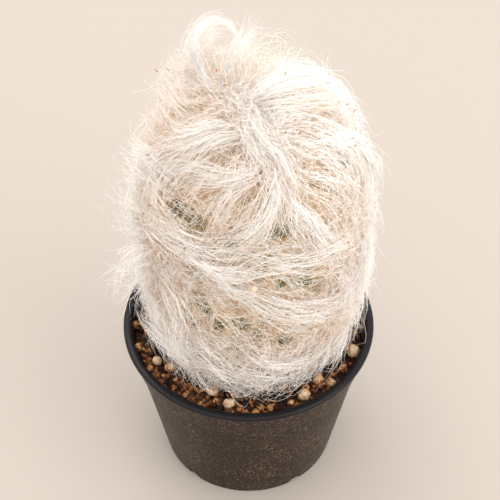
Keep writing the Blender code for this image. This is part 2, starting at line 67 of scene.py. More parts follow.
# Pot
RIM_RADIUS = POT_HIGH[0]
POT_HEIGHT = POT_HIGH[2]
BASE_RADIUS = 31.8 * MM
WALL = 1.2 * MM
FLOOR = 1.6 * MM
BASE_CHAMFER = 0.6 * MM
WALL_TOP_RADIUS = 43.2 * MM
COLLAR_HEIGHT = 13.5 * MM
COLLAR_STEP = 0.6 * MM
LIP_WIDTH = 3.1 * MM
LIP_HEIGHT = 2.4 * MM
LIP_CORNERS = 14
LIP_SWEEP = (-55.0, 200.0)
LIP_SQUARE = 0.7
POT_SIDES = 144
NOTCHES = 5
NOTCH_FIRST_ANGLE = -57.0
NOTCH_RADIUS = 2.5 * MM
NOTCH_DEPTH = 5.0 * MM
FLECK_STRETCH = (1300.0, 1300.0, 3100.0)
LIP_COLOUR = (0.008, 0.008, 0.0105, 1.0)

# Soil
SOIL_LEVEL = 56.2 * MM
SOIL_SIDES = 96
SOIL_RINGS = 26
SOIL_GAP = 0.15 * MM
SOIL_TONE = 0.06
CRUMB_SIZE = (0.6, 1.6)
CRUMB_RING = (24.0, 41.3)
CRUMB_TONES = (0.0, 0.04, 0.08, 0.12, 0.17, 0.24, 0.34, 0.48)

# The pebbles that the photograph shows: (x, y, radius) in its pixels, and a tone from rust to cream
PEBBLES = (
    (137, 325, 5, 0.55), (139, 347, 4.5, 0.5), (151, 369, 5, 0.3), (157, 361, 5.2, 0.95),
    (170, 368, 5.2, 0.8), (161, 383, 4, 0.05), (187, 396, 5, 0.35), (212, 391, 6, 0.85),
    (229, 404, 6, 0.95), (357, 313, 5, 0.45), (360, 329, 4.5, 0.3), (353, 352, 7, 1.0),
    (343, 369, 5, 0.35), (318, 380, 5.5, 0.85), (331, 383, 5, 0.7), (304, 396, 7, 0.95),
    (199, 404, 3.5, 0.5), (145, 357, 3.5, 0.1), (176, 380, 3.5, 0.3), (216, 401, 3.5, 0.5),
    (262, 408, 3.5, 0.5), (276, 407, 3.5, 0.1), (291, 403, 4, 0.6),
)
PEBBLE_LEVEL = 57.5 * MM
PIXEL_SIZE = 0.34 * MM
BACK_PEBBLES = 26
BACK_RING = (33.0, 38.8)
BACK_SIZE = (1.3, 2.4)
STRAY_GRAIN = (254, 289, 7)
STRAY_SIZE = 1.2 * MM
STRAY_TONE = 1.5

# Stem
STEM_SHIFT = np.array((1.3, 0.3, 0.0)) * MM
STEM_RADIUS = 35.4 * MM
WIDEST_LEVEL = 108.0 * MM
CROWN_LEVEL = 157.0 * MM
CROWN_MIDDLE = 28.3 * MM
CROWN_ROUND = 2.9
CROWN_STEPS = 300
CROWN_SAMPLES = 9
CROWN_DIMPLE = 2.5 * MM
DIMPLE_WIDTH = 9.0 * MM
LOWER_REACH = 82.0 * MM
LOWER_ROUND = 2.4
STEM_FOOT = 59.0 * MM
GOLDEN_ANGLE = math.radians(137.507764)
TUBERCLE_AREA = 88.0 * MM * MM
TUBERCLE_DEPTH = 4.8 * MM
NECK_RADIUS = 13.0 * MM
NECK_FOOT = 29.0 * MM
NECK_SIDES = 24
CROWN_FELT = (0.6, 0.46, 0.3, 1.0)
# Dark brown of the foot: corky skin, and painted shade near the soil.
CORK_AND_PAINTED_SHADE = (0.05, 0.03, 0.018, 1.0)
BRISTLE_WIDTH = 0.2 * MM
SPINE_WIDTH = 0.25 * MM
BACK_TIPS = 12.0 * MM
TIP_LENGTH = 1.5 * MM
TIP_WIDTH = 0.7 * MM
TIP_CLEAR = 2.5

# Wool; a pair for a length or a height is a range in millimetres
ROWS = 13
STRAND_START = 21.0 * MM
LOCK_EVERY = 18.5 * MM
LOCK_LENGTH = (21.0, 27.0)
LOCK_WIDTH = 6.8 * MM
LOCK_STEPS = 5
LOCK_CLEAR = 0.9 * MM
LOCK_HEIGHT = (4.2, 6.2)
FRINGE_LEVEL = 58.9 * MM
FRINGE_REACH = 37.5 * MM
SWEEP = math.radians(62.0)
CROWN_LOCKS = 16
CROWN_LOCK_LENGTH = (24.0, 32.0)
CROWN_LOCK_HEIGHT = (7.0, 11.0)
CAP_THICKNESS = 2.4 * MM
HAIR_CLEAR = 0.35 * MM
MOST_SWAY = 3.0 * MM
LOW_FRIZZ = 1.8
BARE_FOOT = 19.0 * MM
SKIRT_HEIGHT = 13.0 * MM
SKIRT_REACH = (30.0 * MM, 36.5 * MM)
SKIRT_SHORT = 3.0 * MM
SHORT_SIDE = (0.5, -0.87)
DOWN_LENGTH = (7.0, 13.0)
DOWN_HEIGHT = (0.3, 2.8)
DOWN_SUNK = 1.5 * MM
DOWN_WIDTH = 0.17 * MM
CROWN_HAIRS = 1700
CROWN_HAIR_LENGTH = (7.0, 15.0)
CROWN_HAIR_HEIGHT = (1.5, 6.0)
CROWN_HAIR_SPREAD = 3.2 * MM
VEIL_LAYERS = 6
VEIL_LENGTH = (11.0, 24.0)
CLUMP = 5
CLUMP_SPREAD = 1.8
BODY_LOCK_HAIRS = 20
BODY_LOCK_THICKNESS = 1.8 * MM
BACK_LOCKS = 130
BACK_LOCK_HAIRS = 13
BACK_LOCK_LENGTH = (18.0, 34.0)
BACK_LOCK_WIDTH = (1.0, 2.4)
BACK_LOCK_THICKNESS = 1.0 * MM
CROWN_LOCK_HAIRS = 26
CROWN_LOCK_THICKNESS = 2.6 * MM
CROWN_LOCK_MOST = 6.0 * MM
FRINGE_HAIRS = 420
FRINGE_RUN = (88.0, 114.0)
FRINGE_LENGTH = (9.0, 20.0)
FRINGE_HEIGHT = (1.0, 5.5)
TANGLE_HAIRS = 1800
TANGLE_START = 34.0 * MM
TANGLE_LENGTH = (7.0, 15.0)
TANGLE_WIDTH = 0.9
FLYAWAYS = 1500
FLYAWAY_START = 4.0 * MM
FLYAWAY_LENGTH = (8.0, 20.0)
FLYAWAY_WIDTH = 0.7

# How high a hair stands at each of its points, as shares of its height
DOWN_RISE = np.array((0.0, 0.6, 0.9, 1.0, 0.95, 0.7))
CROWN_HAIR_RISE = np.array((0.0, 0.5, 0.8, 1.0, 1.0, 0.95, 0.85))
VEIL_RISE = np.array((-0.05, 0.4, 0.7, 0.9, 1.0, 1.0, 1.0, 0.95))
BACK_LOCK_RISE = np.array((0.0, 0.7, 1.0, 1.1, 1.0))
FRINGE_RISE = np.array((-0.2, 0.3, 0.6, 0.8, 0.95, 1.1, 1.2, 1.3, 1.35))
TANGLE_RISE = np.linspace(0.7, 1.0, 8)
FLYAWAY_RISE = np.linspace(0.1, 1.0, 8) ** 0.8

# What the photograph shows on the plant is placed by (x, y) in the photograph's pixels and a height
# in millimetres over the tips of the tubercles. A lock has a route of such points from its root to
# its end, then its width and thickness in millimetres, its number of hairs and its tone.
LOCKS = {
    "big_loop": (
        ((229, 100, 2), (215, 89, 5), (202, 74, 8), (194, 56, 11), (194, 38, 13), (203, 24, 15),
         (217, 18, 15), (230, 22, 14), (238, 34, 12), (237, 48, 10), (230, 62, 8), (226, 80, 5)),
        (2.2, 1.3, 42, 1.0),
    ),
    "big_loop_edge": (
        ((227, 102, 2), (206, 86, 6), (191, 62, 10), (188, 44, 12), (198, 27, 14), (216, 15, 15),
         (234, 22, 14)),
        (2.0, 1.6, 30, 0.95),
    ),
    "loop_web": (
        ((226, 100, 2), (212, 84, 5), (203, 68, 7), (199, 52, 9), (203, 38, 11), (214, 28, 13)),
        (4.5, 3.0, 60, 0.55),
    ),
    "loop_web_right": (
        ((230, 98, 2), (226, 78, 5), (224, 62, 7), (223, 46, 9), (228, 34, 11)),
        (5.5, 3.0, 60, 0.5),
    ),
    "loop_back": (
        ((222, 96, 2), (202, 84, 5), (187, 72, 7), (180, 56, 8), (184, 42, 9)),
        (4.5, 2.5, 46, 0.6),
    ),
    "loop_web_top": (
        ((204, 60, 8), (202, 40, 11), (212, 26, 13), (226, 26, 13), (234, 38, 11)),
        (4.0, 2.0, 34, 0.65),
    ),
    "inner_loop": (
        ((216, 92, 3), (204, 70, 6), (201, 54, 8), (206, 42, 10), (217, 37, 11), (228, 41, 11),
         (234, 53, 9)),
        (1.2, 1.0, 50, 0.95),
    ),
    "upright_tuft": (
        ((228, 98, 2), (225, 76, 5), (231, 59, 8), (241, 44, 10), (252, 28, 12), (259, 9, 13)),
        (3.0, 1.8, 70, 1.0),
    ),
    "upright_side": (
        ((231, 100, 2), (236, 80, 5), (245, 62, 7), (258, 47, 8), (270, 44, 8)),
        (4.0, 1.8, 50, 0.7),
    ),
    "back_crest": (
        ((248, 98, 2), (257, 80, 5), (270, 66, 6), (284, 58, 7), (296, 60, 7)),
        (4.0, 1.8, 60, 0.75),
    ),
    "back_sweep": (((246, 102, 2), (266, 88, 5), (290, 72, 6), (310, 68, 6)), (5.0, 2.0, 50, 0.7)),
    "right_roll": (
        ((238, 106, 2), (260, 93, 6), (280, 84, 8), (301, 79, 8), (322, 80, 8), (340, 89, 6)),
        (5.6, 2.5, 105, 1.0),
    ),
    "right_roll_low": (
        ((242, 110, 2), (264, 100, 5), (286, 95, 7), (310, 92, 7), (332, 98, 6), (348, 108, 5)),
        (7.5, 2.3, 70, 0.75),
    ),
    "crest": (
        ((262, 128, 2), (276, 119, 5), (292, 115, 6), (306, 118, 6), (317, 129, 5)),
        (5.0, 2.1, 70, 1.0),
    ),
    "crest_right": (((282, 128, 3), (304, 112, 5), (326, 108, 6), (346, 116, 5)), (7.5, 2.3, 50, 0.75)),
    "right_arc": (
        ((306, 146, 3), (320, 140, 5), (337, 136, 6), (353, 138, 6), (366, 149, 6), (374, 166, 6),
         (373, 186, 6), (367, 206, 5)),
        (3.2, 1.8, 95, 1.0),
    ),
    "right_arc_inner": (
        ((290, 160, 3), (303, 154, 4), (323, 151, 5), (341, 158, 5), (351, 172, 5), (353, 192, 5),
         (346, 214, 5)),
        (5.6, 1.6, 65, 0.95),
    ),
    "right_swirl": (
        ((288, 168, 3), (300, 176, 4), (316, 184, 5), (334, 190, 5), (352, 208, 5), (362, 228, 5)),
        (6.2, 1.6, 50, 0.9),
    ),
    "parting": (
        ((229, 108, 3), (245, 114, 5), (254, 129, 5), (264, 147, 4), (279, 157, 4), (287, 175, 5),
         (294, 189, 6), (304, 199, 6), (314, 205, 5)),
        (3.8, 2.1, 120, 0.86),
    ),
    "parting_edge": (
        ((236, 106, 3), (256, 114, 5), (268, 130, 5), (280, 148, 4), (286, 160, 4)),
        (6.2, 2.5, 70, 0.8),
    ),
    "left_wisp": (
        ((234, 118, 2), (206, 116, 4), (193, 114, 6), (181, 107, 7), (171, 94, 8), (164, 80, 9),
         (159, 65, 10)),
        (1.8, 1.4, 40, 0.95),
    ),
    "left_curl": (
        ((244, 130, 3), (222, 127, 5), (204, 130, 6), (190, 135, 7), (177, 129, 7), (168, 117, 8),
         (164, 101, 9)),
        (3.0, 1.8, 70, 0.95),
    ),
    "left_band": (
        ((250, 138, 3), (234, 137, 5), (217, 140, 6), (200, 149, 6), (186, 164, 6), (176, 176, 5)),
        (3.2, 1.6, 65, 0.9),
    ),
    "left_fan": (
        ((246, 134, 3), (216, 133, 5), (186, 142, 6), (160, 152, 6), (142, 166, 5)),
        (7.5, 2.1, 55, 0.75),
    ),
    "low_band": (
        ((267, 152, 3), (254, 169, 5), (234, 176, 6), (211, 176, 6), (190, 171, 6), (172, 173, 6),
         (154, 168, 6)),
        (3.0, 1.6, 70, 0.95),
    ),
    "low_fan": (
        ((268, 156, 3), (250, 176, 5), (228, 188, 6), (204, 194, 6), (184, 206, 5)),
        (7.5, 1.8, 60, 0.7),
    ),
    "shoulder_band": (
        ((130, 146, 6), (148, 157, 7), (162, 172, 6), (177, 184, 6), (196, 189, 5)),
        (3.8, 1.6, 50, 0.9),
    ),
    "front_left_fall": (
        ((272, 164, 3), (256, 188, 5), (240, 212, 6), (226, 234, 6), (210, 250, 6), (196, 256, 5)),
        (6.2, 1.6, 50, 0.8),
    ),
    "front_thin_fall": (
        ((262, 178, 3), (238, 190, 5), (226, 204, 6), (220, 221, 6), (218, 240, 5)),
        (2.0, 1.1, 30, 0.95),
    ),
    "front_fall": (
        ((279, 168, 3), (277, 192, 5), (269, 214, 6), (254, 232, 6), (234, 244, 6), (212, 250, 5)),
        (2.6, 1.4, 42, 1.0),
    ),
    "middle_fall": (
        ((284, 172, 3), (283, 196, 5), (281, 218, 5), (272, 240, 5), (256, 256, 5), (240, 268, 4)),
        (4.2, 1.6, 34, 0.85),
    ),
    "right_fall": (
        ((287, 176, 3), (290, 196, 5), (299, 211, 6), (312, 223, 6), (320, 238, 6), (330, 251, 6),
         (336, 260, 5)),
        (2.8, 1.4, 60, 0.95),
    ),
    "right_fall_edge": (
        ((288, 180, 3), (286, 204, 5), (293, 226, 5), (308, 246, 5), (322, 266, 5)),
        (4.2, 1.6, 30, 0.9),
    ),
    "belt": (
        ((132, 206, 6), (147, 214, 6), (166, 228, 6), (185, 240, 6), (205, 248, 6), (229, 248, 6),
         (253, 250, 6), (277, 254, 6), (297, 250, 6), (311, 238, 5)),
        (5.5, 2.0, 40, 1.0),
    ),
    "belt_upper": (
        ((144, 166, 6), (156, 184, 6), (172, 204, 6), (194, 226, 6), (220, 240, 5)),
        (6.2, 1.6, 30, 0.8),
    ),
    "belt_low": (
        ((160, 228, 5), (186, 248, 6), (204, 264, 6), (224, 275, 6), (241, 273, 6), (257, 268, 6),
         (277, 264, 6), (300, 262, 6), (318, 257, 5)),
        (5.0, 1.8, 32, 1.0),
    ),
    "right_belt": (
        ((228, 244, 4), (248, 252, 5), (269, 258, 6), (292, 261, 6), (313, 260, 6), (331, 252, 6),
         (348, 242, 6), (362, 224, 6), (369, 204, 6)),
        (4.2, 1.8, 34, 1.0),
    ),
    "right_belt_low": (
        ((268, 264, 5), (292, 266, 6), (318, 262, 6), (342, 252, 6), (362, 236, 6)),
        (4.0, 1.4, 30, 0.9),
    ),
    "low_arc": (
        ((204, 290, 4), (230, 295, 5), (248, 300, 6), (260, 308, 6), (274, 314, 6), (293, 317, 6),
         (313, 316, 6), (331, 310, 6), (352, 298, 6), (366, 286, 6)),
        (4.2, 1.6, 32, 1.0),
    ),
    "low_strand": (((210, 268, 4), (226, 286, 5), (246, 298, 5), (268, 306, 5)), (2.5, 1.1, 20, 0.85)),
    "left_curtain": (
        ((154, 268, 5), (166, 286, 6), (174, 303, 6), (180, 321, 6), (181, 339, 6), (190, 354, 5)),
        (6.5, 2.2, 17, 0.9),
    ),
    "left_curtain_back": (
        ((140, 282, 6), (148, 300, 6), (156, 318, 6), (164, 338, 6), (176, 352, 5)),
        (7.0, 2.2, 15, 0.8),
    ),
    "hem": (
        ((134, 302, 6), (141, 319, 6), (157, 335, 6), (176, 350, 6), (194, 356, 6), (212, 352, 6),
         (230, 346, 6), (248, 348, 5)),
        (4.0, 2.0, 32, 1.0),
    ),
    "hem_right": (
        ((232, 338, 4), (252, 352, 6), (272, 362, 6), (292, 362, 6), (312, 358, 6), (334, 358, 5)),
        (4.2, 1.8, 22, 1.0),
    ),
    "skirt": (
        ((192, 356, 5), (212, 366, 6), (228, 376, 6), (244, 383, 5), (264, 390, 4), (282, 394, 3)),
        (4.0, 1.4, 18, 0.9),
    ),
    "skirt_fall": (((246, 350, 5), (246, 362, 5), (240, 374, 5), (246, 388, 3)), (4.0, 1.4, 14, 0.85)),
    "skirt_right": (
        ((352, 318, 6), (342, 338, 6), (331, 356, 6), (316, 370, 5), (298, 381, 4)),
        (4.4, 1.4, 20, 0.9),
    ),
    "left_tuft": (((166, 162, 6), (148, 153, 8), (134, 148, 10), (122, 141, 12)), (3.0, 2.0, 26, 0.9)),
    "left_tuft_low": (
        ((160, 182, 6), (140, 172, 8), (126, 164, 10), (117, 160, 12)),
        (3.0, 2.0, 22, 0.85),
    ),
    "left_haze": (((150, 214, 6), (134, 202, 8), (124, 190, 10), (119, 176, 11)), (3.5, 2.2, 24, 0.85)),
    "left_haze_low": (
        ((148, 236, 6), (132, 228, 8), (122, 216, 10), (120, 202, 11)),
        (3.5, 2.2, 22, 0.85),
    ),
    "upper_left": (((196, 104, 4), (180, 88, 7), (168, 75, 9), (155, 66, 10)), (6.0, 2.5, 60, 0.75)),
    "upper_left_back": (((204, 86, 4), (188, 70, 7), (177, 58, 9), (167, 50, 10)), (5.5, 2.5, 50, 0.8)),
    "tassel_a": (
        ((160, 250, 6), (144, 254, 9), (129, 263, 12), (117, 276, 13), (110, 292, 12)),
        (3.0, 1.8, 22, 0.95),
    ),
    "tassel_b": (
        ((158, 260, 6), (140, 268, 9), (124, 276, 12), (108, 284, 14), (98, 296, 14)),
        (2.4, 1.4, 14, 0.9),
    ),
    "tassel_c": (((152, 266, 6), (140, 284, 8), (130, 300, 9), (122, 318, 9)), (3.0, 1.6, 24, 0.95)),
    "tassel_d": (((158, 246, 6), (140, 248, 10), (126, 256, 13), (114, 270, 13)), (2.6, 1.6, 16, 0.9)),
}

# Locks whose root is above this row of pixels belong to the crown
CROWN_LINE = 150

# The middle of the crown's wool, from end to end of its parting, in pixels
CROWN_WOOL = ((226, 96), (238, 108), (256, 124), (270, 140), (283, 158))

# Where the hair parts over the stem: (x, y) in pixels and the radius of the gap in millimetres
GAPS = (
    (192, 88, 2.8), (200, 94, 2.0), (190, 112, 1.6), (336, 116, 2.2), (343, 158, 2.2),
    (316, 186, 1.6), (230, 149, 1.6), (172, 207, 2.2), (185, 215, 2.8), (197, 228, 2.2),
    (245, 200, 1.6), (280, 235, 2.2), (228, 246, 1.4), (247, 258, 1.3), (300, 264, 1.5),
    (282, 287, 1.7), (308, 284, 1.6), (320, 280, 1.4), (203, 310, 2.2), (219, 327, 1.6),
    (242, 325, 1.8), (256, 336, 1.8), (283, 341, 1.4),
)

# Where the hair's tone is lowered, darker and creamier, as painted shade: (x, y) as above, and how far
# round it in millimetres
PAINTED_SHADE_SPOTS = ((170, 122, 19.0), (162, 208, 13.0), (332, 322, 14.0))
PAINTED_SHADE_SHARE = 0.2

# Where red-brown spine tips show through the hair: (x, y) and height as above
TIPS = (
    (166, 67, 8), (155, 69, 9), (146, 155, 7), (154, 252, 8), (142, 213, 8), (286, 72, 8),
    (330, 82, 7), (349, 103, 7), (357, 109, 7), (286, 131, 11), (357, 145, 7), (329, 270, 7),
    (238, 304, 6), (236, 304, 6), (198, 92, 4), (216, 68, 6), (269, 287, 6), (350, 244, 6),
    (166, 92, 6), (224, 84, 5), (200, 108, 5), (148, 205, 6), (183, 249, 6),
)

# Camera and lights
TARGET_HEIGHT = 97.8 * MM
CAMERA_DISTANCE = 0.5
CAMERA_RISE = math.radians(46.3)
CAMERA_LENS = 105.3
CAMERA_SHIFT = 0.0028
SENSOR = 36.0
SIGHT_RANGE = (0.36, 0.60)
SIGHT_STEPS = 961
PHOTO_SIDE = 500
LAMP_AIM = Vector((0.0, 0.0, 0.09))
SKY_COLOUR = (1.0, 0.952, 0.893, 1.0)

# Place and size in metres, share of the key light's power, and colour
LAMPS = {
    "key": ((-0.24, 0.34, 0.86), 0.6, 1.0, (1.0, 0.985, 0.965)),
    "fill": ((0.75, -0.55, 0.48), 0.9, 2.8, (1.0, 0.98, 0.955)),
}


def colour_setting(name, description, default):
    """A colour that a user may change."""
    return FloatVectorProperty(
        name=name, description=description, default=default, min=0.0, max=1.0, subtype="COLOR"
    )


def count_setting(name, description, default, low, high):
    """A count that a user may change."""
    return IntProperty(name=name, description=description, default=default, min=low, max=high)


def length_setting(name, description, default, low, high):
    """A length in metres that a user may change."""
    return FloatProperty(
        name=name, description=description, default=default, min=low, max=high, subtype="DISTANCE"
    )


class PotSettings(bpy.types.PropertyGroup):
    plastic: colour_setting("Plastic", "Colour of the moulded plastic", (0.0185, 0.0105, 0.0072))
    straw: colour_setting("Straw", "Colour of the flecks in the plastic", (0.30, 0.205, 0.125))


class SoilSettings(bpy.types.PropertyGroup):
    dark: colour_setting("Dark crumbs", "Colour of the damp crumbs", (0.022, 0.009, 0.005))
    cream: colour_setting("Cream pebbles", "Colour of the palest porous pebbles", (0.66, 0.53, 0.39))
    crumbs: count_setting("Crumbs", "Number of loose crumbs on the soil", 1500, 100, 2500)


class StemSettings(bpy.types.PropertyGroup):
    skin: colour_setting("Skin", "Colour of the stem where it shows", (0.17, 0.155, 0.05))
    felt: colour_setting("Felt", "Colour of the short felt on the stem", (0.52, 0.38, 0.21))
    radial_spines: count_setting("Radial spines", "Bristles round each tubercle's tip", 12, 4, 20)
    spine_length: length_setting("Spine length", "Length of the bristles", 6.0 * MM, 1.0 * MM, 10.0 * MM)


class HairSettings(bpy.types.PropertyGroup):
    white: colour_setting("White hair", "Colour of the outermost hair", (0.95, 0.94, 0.93))
    # The old hair's tan stands partly for older wool and partly for painted shade deep in the coat.
    tan: colour_setting("Old hair", "Colour of the hair deep under the locks", (0.80, 0.47, 0.20))
    thickness: length_setting("Hair thickness", "Width near the root", 0.13 * MM, 0.05 * MM, 0.6 * MM)
    veil: count_setting("Veil hairs", "Single hairs spread over the whole stem", 9300, 500, 12000)
    down: count_setting("Down hairs", "Short curly hairs near the skin", 5000, 500, 6000)


class StageSettings(bpy.types.PropertyGroup):
    floor: colour_setting("Floor", "Colour of the floor", (0.395, 0.358, 0.331))
    key: FloatProperty(
        name="Key light",
        description="Strength of the large soft light",
        default=1.98,
        min=0.0,
        unit="POWER",
    )
    sky: FloatProperty(
        name="Sky light", description="Strength of the even light all round", default=1.9, min=0.0
    )


class CactusSettings(bpy.types.PropertyGroup):
    pot: PointerProperty(type=PotSettings)
    soil: PointerProperty(type=SoilSettings)
    stem: PointerProperty(type=StemSettings)
    hair: PointerProperty(type=HairSettings)
    stage: PointerProperty(type=StageSettings)


def lerp(low, high, share):
    return low + (high - low) * share


def smooth(share):
    share = np.clip(share, 0.0, 1.0)
    return share * share * (3.0 - 2.0 * share)


# Objects and materials


def add_piece(name, mesh, finish, node):
    """A finished piece: it rides on the part and stands for its node."""
    mesh.name = name
    mesh.materials.clear()
    mesh.materials.append(finish)
    made = bpy.data.objects.new(name, mesh)
    bpy.context.scene.collection.objects.link(made)
    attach(made, "root")
    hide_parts(node)


def mesh_of(bm, name):
    mesh = bpy.data.meshes.new(name)
    bm.to_mesh(mesh)
    bm.free()
    return mesh


def add_node(tree, kind, values=None, **settings):
    """A shader node; values go to its sockets by name or number, and a socket given is linked."""
    made = tree.nodes.new(kind)
    for key, value in settings.items():
        setattr(made, key, value)
    for key, value in (values or {}).items():
        if isinstance(value, bpy.types.NodeSocket):
            tree.links.new(value, made.inputs[key])
        else:
            made.inputs[key].default_value = value
    return made


def new_finish(name, roughness, specular=0.5):
    made = bpy.data.materials.new(name)
    made.use_nodes = True
    shader = made.node_tree.nodes["Principled BSDF"]
    shader.inputs["Roughness"].default_value = roughness
    shader.inputs["Specular IOR Level"].default_value = specular
    return made, made.node_tree, shader


def ramp(tree, share, stops):
    """A colour ramp read by share; stops are (place, colour)."""
    made = tree.nodes.new("ShaderNodeValToRGB")
    marks = made.color_ramp.elements
    marks[0].position, marks[0].color = stops[0][0], (*stops[0][1], 1.0)
    marks[1].position, marks[1].color = stops[-1][0], (*stops[-1][1], 1.0)
    for mark, tint in stops[1:-1]:
        marks.new(mark).color = (*tint, 1.0)
    tree.links.new(share, made.inputs["Fac"])
    return made.outputs["Color"]


def object_place(tree, scale=(1.0, 1.0, 1.0)):
    """The place on the piece in metres, stretched by scale."""
    source = add_node(tree, "ShaderNodeTexCoord")
    mapping = add_node(tree, "ShaderNodeMapping", {"Vector": source.outputs["Object"], "Scale": scale})
    return mapping.outputs["Vector"]


def height_on(tree):
    """The height on the piece in metres."""
    return add_node(tree, "ShaderNodeSeparateXYZ", {"Vector": object_place(tree)}).outputs["Z"]


def attribute(tree, name):
    return add_node(tree, "ShaderNodeAttribute", attribute_name=name).outputs["Fac"]


def cloudy(tree, scale, detail, stretch=(1.0, 1.0, 1.0), roughness=0.5):
    """Noise over the piece, mostly from 0.3 to 0.7."""
    values = {"Scale": scale, "Detail": detail, "Roughness": roughness}
    values["Vector"] = object_place(tree, stretch)
    return add_node(tree, "ShaderNodeTexNoise", values).outputs["Fac"]


def dotted(tree, scale):
    """The distance to the nearest of many dots spread over the piece."""
    values = {"Vector": object_place(tree), "Scale": scale}
    return add_node(tree, "ShaderNodeTexVoronoi", values).outputs["Distance"]


def remap(tree, value, source, target=(0.0, 1.0)):
    """The value taken from one range to another and held inside it."""
    values = {"Value": value, "From Min": source[0], "From Max": source[1]}
    values |= {"To Min": target[0], "To Max": target[1]}
    return add_node(tree, "ShaderNodeMapRange", values).outputs["Result"]


def combine(tree, operation, first, second):
    return add_node(tree, "ShaderNodeMath", {0: first, 1: second}, operation=operation).outputs["Value"]


def blend(tree, share, first, second):
    """A colour from the first to the second by share."""
    return add_node(tree, "ShaderNodeMix", {0: share, 6: first, 7: second}, data_type="RGBA").outputs[2]


def paint(tree, shader, made):
    tree.links.new(made, shader.inputs["Base Color"])


def bump(tree, shader, height, strength, distance):
    made = add_node(tree, "ShaderNodeBump", {"Height": height, "Strength": strength, "Distance": distance})
    tree.links.new(made.outputs["Normal"], shader.inputs["Normal"])


# Places on the stem


def unit(vectors):
    return vectors / np.maximum(np.linalg.norm(vectors, axis=-1, keepdims=True), 1e-12)


def stem_outline():
    """Radius, height, length run from the crown and area run from the crown, along the tips."""
    points = []
    for i in range(CROWN_STEPS):
        turn = (math.pi / 2) * (i / CROWN_STEPS) ** 1.5
        radius = STEM_RADIUS * math.sin(turn) ** (2.0 / CROWN_ROUND)
        height = (CROWN_LEVEL - WIDEST_LEVEL) * math.cos(turn) ** (2.0 / CROWN_ROUND)
        dimple = CROWN_DIMPLE * math.exp(-((radius / DIMPLE_WIDTH) ** 2))
        points.append((radius, WIDEST_LEVEL + height - dimple))
    for i in range(CROWN_STEPS + 1):
        height = lerp(WIDEST_LEVEL, STEM_FOOT, i / CROWN_STEPS)
        drop = (WIDEST_LEVEL - height) / LOWER_REACH
        points.append((STEM_RADIUS * (1.0 - drop**LOWER_ROUND) ** (1.0 / LOWER_ROUND), height))
    points = np.array(points)
    pieces = np.hypot(*np.diff(points, axis=0).T)
    run = np.concatenate([[0.0], np.cumsum(pieces)])
    rings = math.tau * (points[1:, 0] + points[:-1, 0]) / 2 * pieces
    area = np.concatenate([[0.0], np.cumsum(rings)])
    return points[:, 0], points[:, 1], run, area


OUTLINE_RADIUS, OUTLINE_HEIGHT, OUTLINE_RUN, OUTLINE_AREA = stem_outline()
RUN_END = OUTLINE_RUN[-1]
TUBERCLES = int(OUTLINE_AREA[-1] / TUBERCLE_AREA)


def run_of(count):
    """The length run from the crown down to tubercle number count."""
    return np.interp(np.asarray(count) * TUBERCLE_AREA, OUTLINE_AREA, OUTLINE_RUN)


def count_at(run):
    return np.interp(run, OUTLINE_RUN, OUTLINE_AREA) / TUBERCLE_AREA


def radius_at(run):
    return np.interp(run, OUTLINE_RUN, OUTLINE_RADIUS)


def level_at(run):
    return np.interp(run, OUTLINE_RUN, OUTLINE_HEIGHT)


def outward(angle, run):
    """The direction out of the stem at these places."""
    step = 0.8 * MM
    low = np.clip(run, 0.0, RUN_END - step)
    along_r = radius_at(low + step) - radius_at(low)
    along_z = level_at(low + step) - level_at(low)
    size = np.hypot(along_r, along_z)
    out = -along_z / size
    return np.stack([out * np.cos(angle), out * np.sin(angle), along_r / size], axis=-1)


def place(angle, run, height=0.0):
    """The points at these angles and lengths run from the crown, height above the tips' surface."""
    kept = np.clip(run, 0.0, RUN_END)
    radius = radius_at(kept)
    level = level_at(kept) - (run - kept)
    on = np.stack([radius * np.cos(angle), radius * np.sin(angle), level], axis=-1)
    return on + STEM_SHIFT + outward(angle, run) * np.asarray(height)[..., None]


def row_angle(row, count):
    """The angle of a groove between two of the spiral rows, level with tubercle number count."""
    step = (ROWS * GOLDEN_ANGLE + math.pi) % math.tau - math.pi
    return (row + 0.5) * math.tau / ROWS + step * count / ROWS


def flow(angle, run):
    """The way the hair lies: the turn away from straight down the stem, in smooth swirls."""
    broad = np.sin(2.0 * angle + run / (17.0 * MM) + 0.6)
    fine = np.sin(5.0 * angle - run / (11.0 * MM))
    return SWEEP * (broad + 0.5 * fine) / 1.3


def loft(angle, run, level=1.0):
    """How thick the coat of hair stands: full behind the crown, thin at the soil."""
    crown = 2.2 * (1.0 - smooth(run / (48.0 * MM)))
    crest = np.exp(-(((run - 21.0 * MM) / (17.0 * MM)) ** 2))
    behind = 9.0 * np.clip(np.sin(angle) + 0.15, 0.0, 1.0) * crest
    foot = smooth((RUN_END + 2.0 * MM - run) / (42.0 * MM))
    return (lerp(2.2, 5.6, foot) + crown + behind * level**2) * MM


def height_over(points):
    """Roughly how far points stand above the tips' surface."""
    flat = points - STEM_SHIFT
    reach = np.hypot(flat[..., 0], flat[..., 1])
    core = np.minimum(flat[..., 2], CROWN_LEVEL - CROWN_MIDDLE)
    rise = flat[..., 2] - core
    bulge = np.hypot(reach, rise)
    share = np.where(rise > 0.0, np.arctan2(reach, np.maximum(rise, 1e-9)) / (math.pi / 2), 1.0)
    side = np.interp(-flat[..., 2], -OUTLINE_HEIGHT, OUTLINE_RADIUS)
    top = np.interp(share, np.linspace(0.0, 1.0, CROWN_SAMPLES), CROWN_CURVE)
    return np.where(rise > 0.0, bulge - top, reach - side)


def crown_curve():
    """The outline's distance from the crown's middle, from the axis round to the side."""
    low = CROWN_LEVEL - CROWN_MIDDLE
    above = OUTLINE_HEIGHT >= low
    turns = np.arctan2(OUTLINE_RADIUS[above], OUTLINE_HEIGHT[above] - low)
    sizes = np.hypot(OUTLINE_RADIUS[above], OUTLINE_HEIGHT[above] - low)
    return np.interp(np.linspace(0.0, math.pi / 2, CROWN_SAMPLES), turns, sizes)


CROWN_CURVE = crown_curve()


# Places read from the photograph


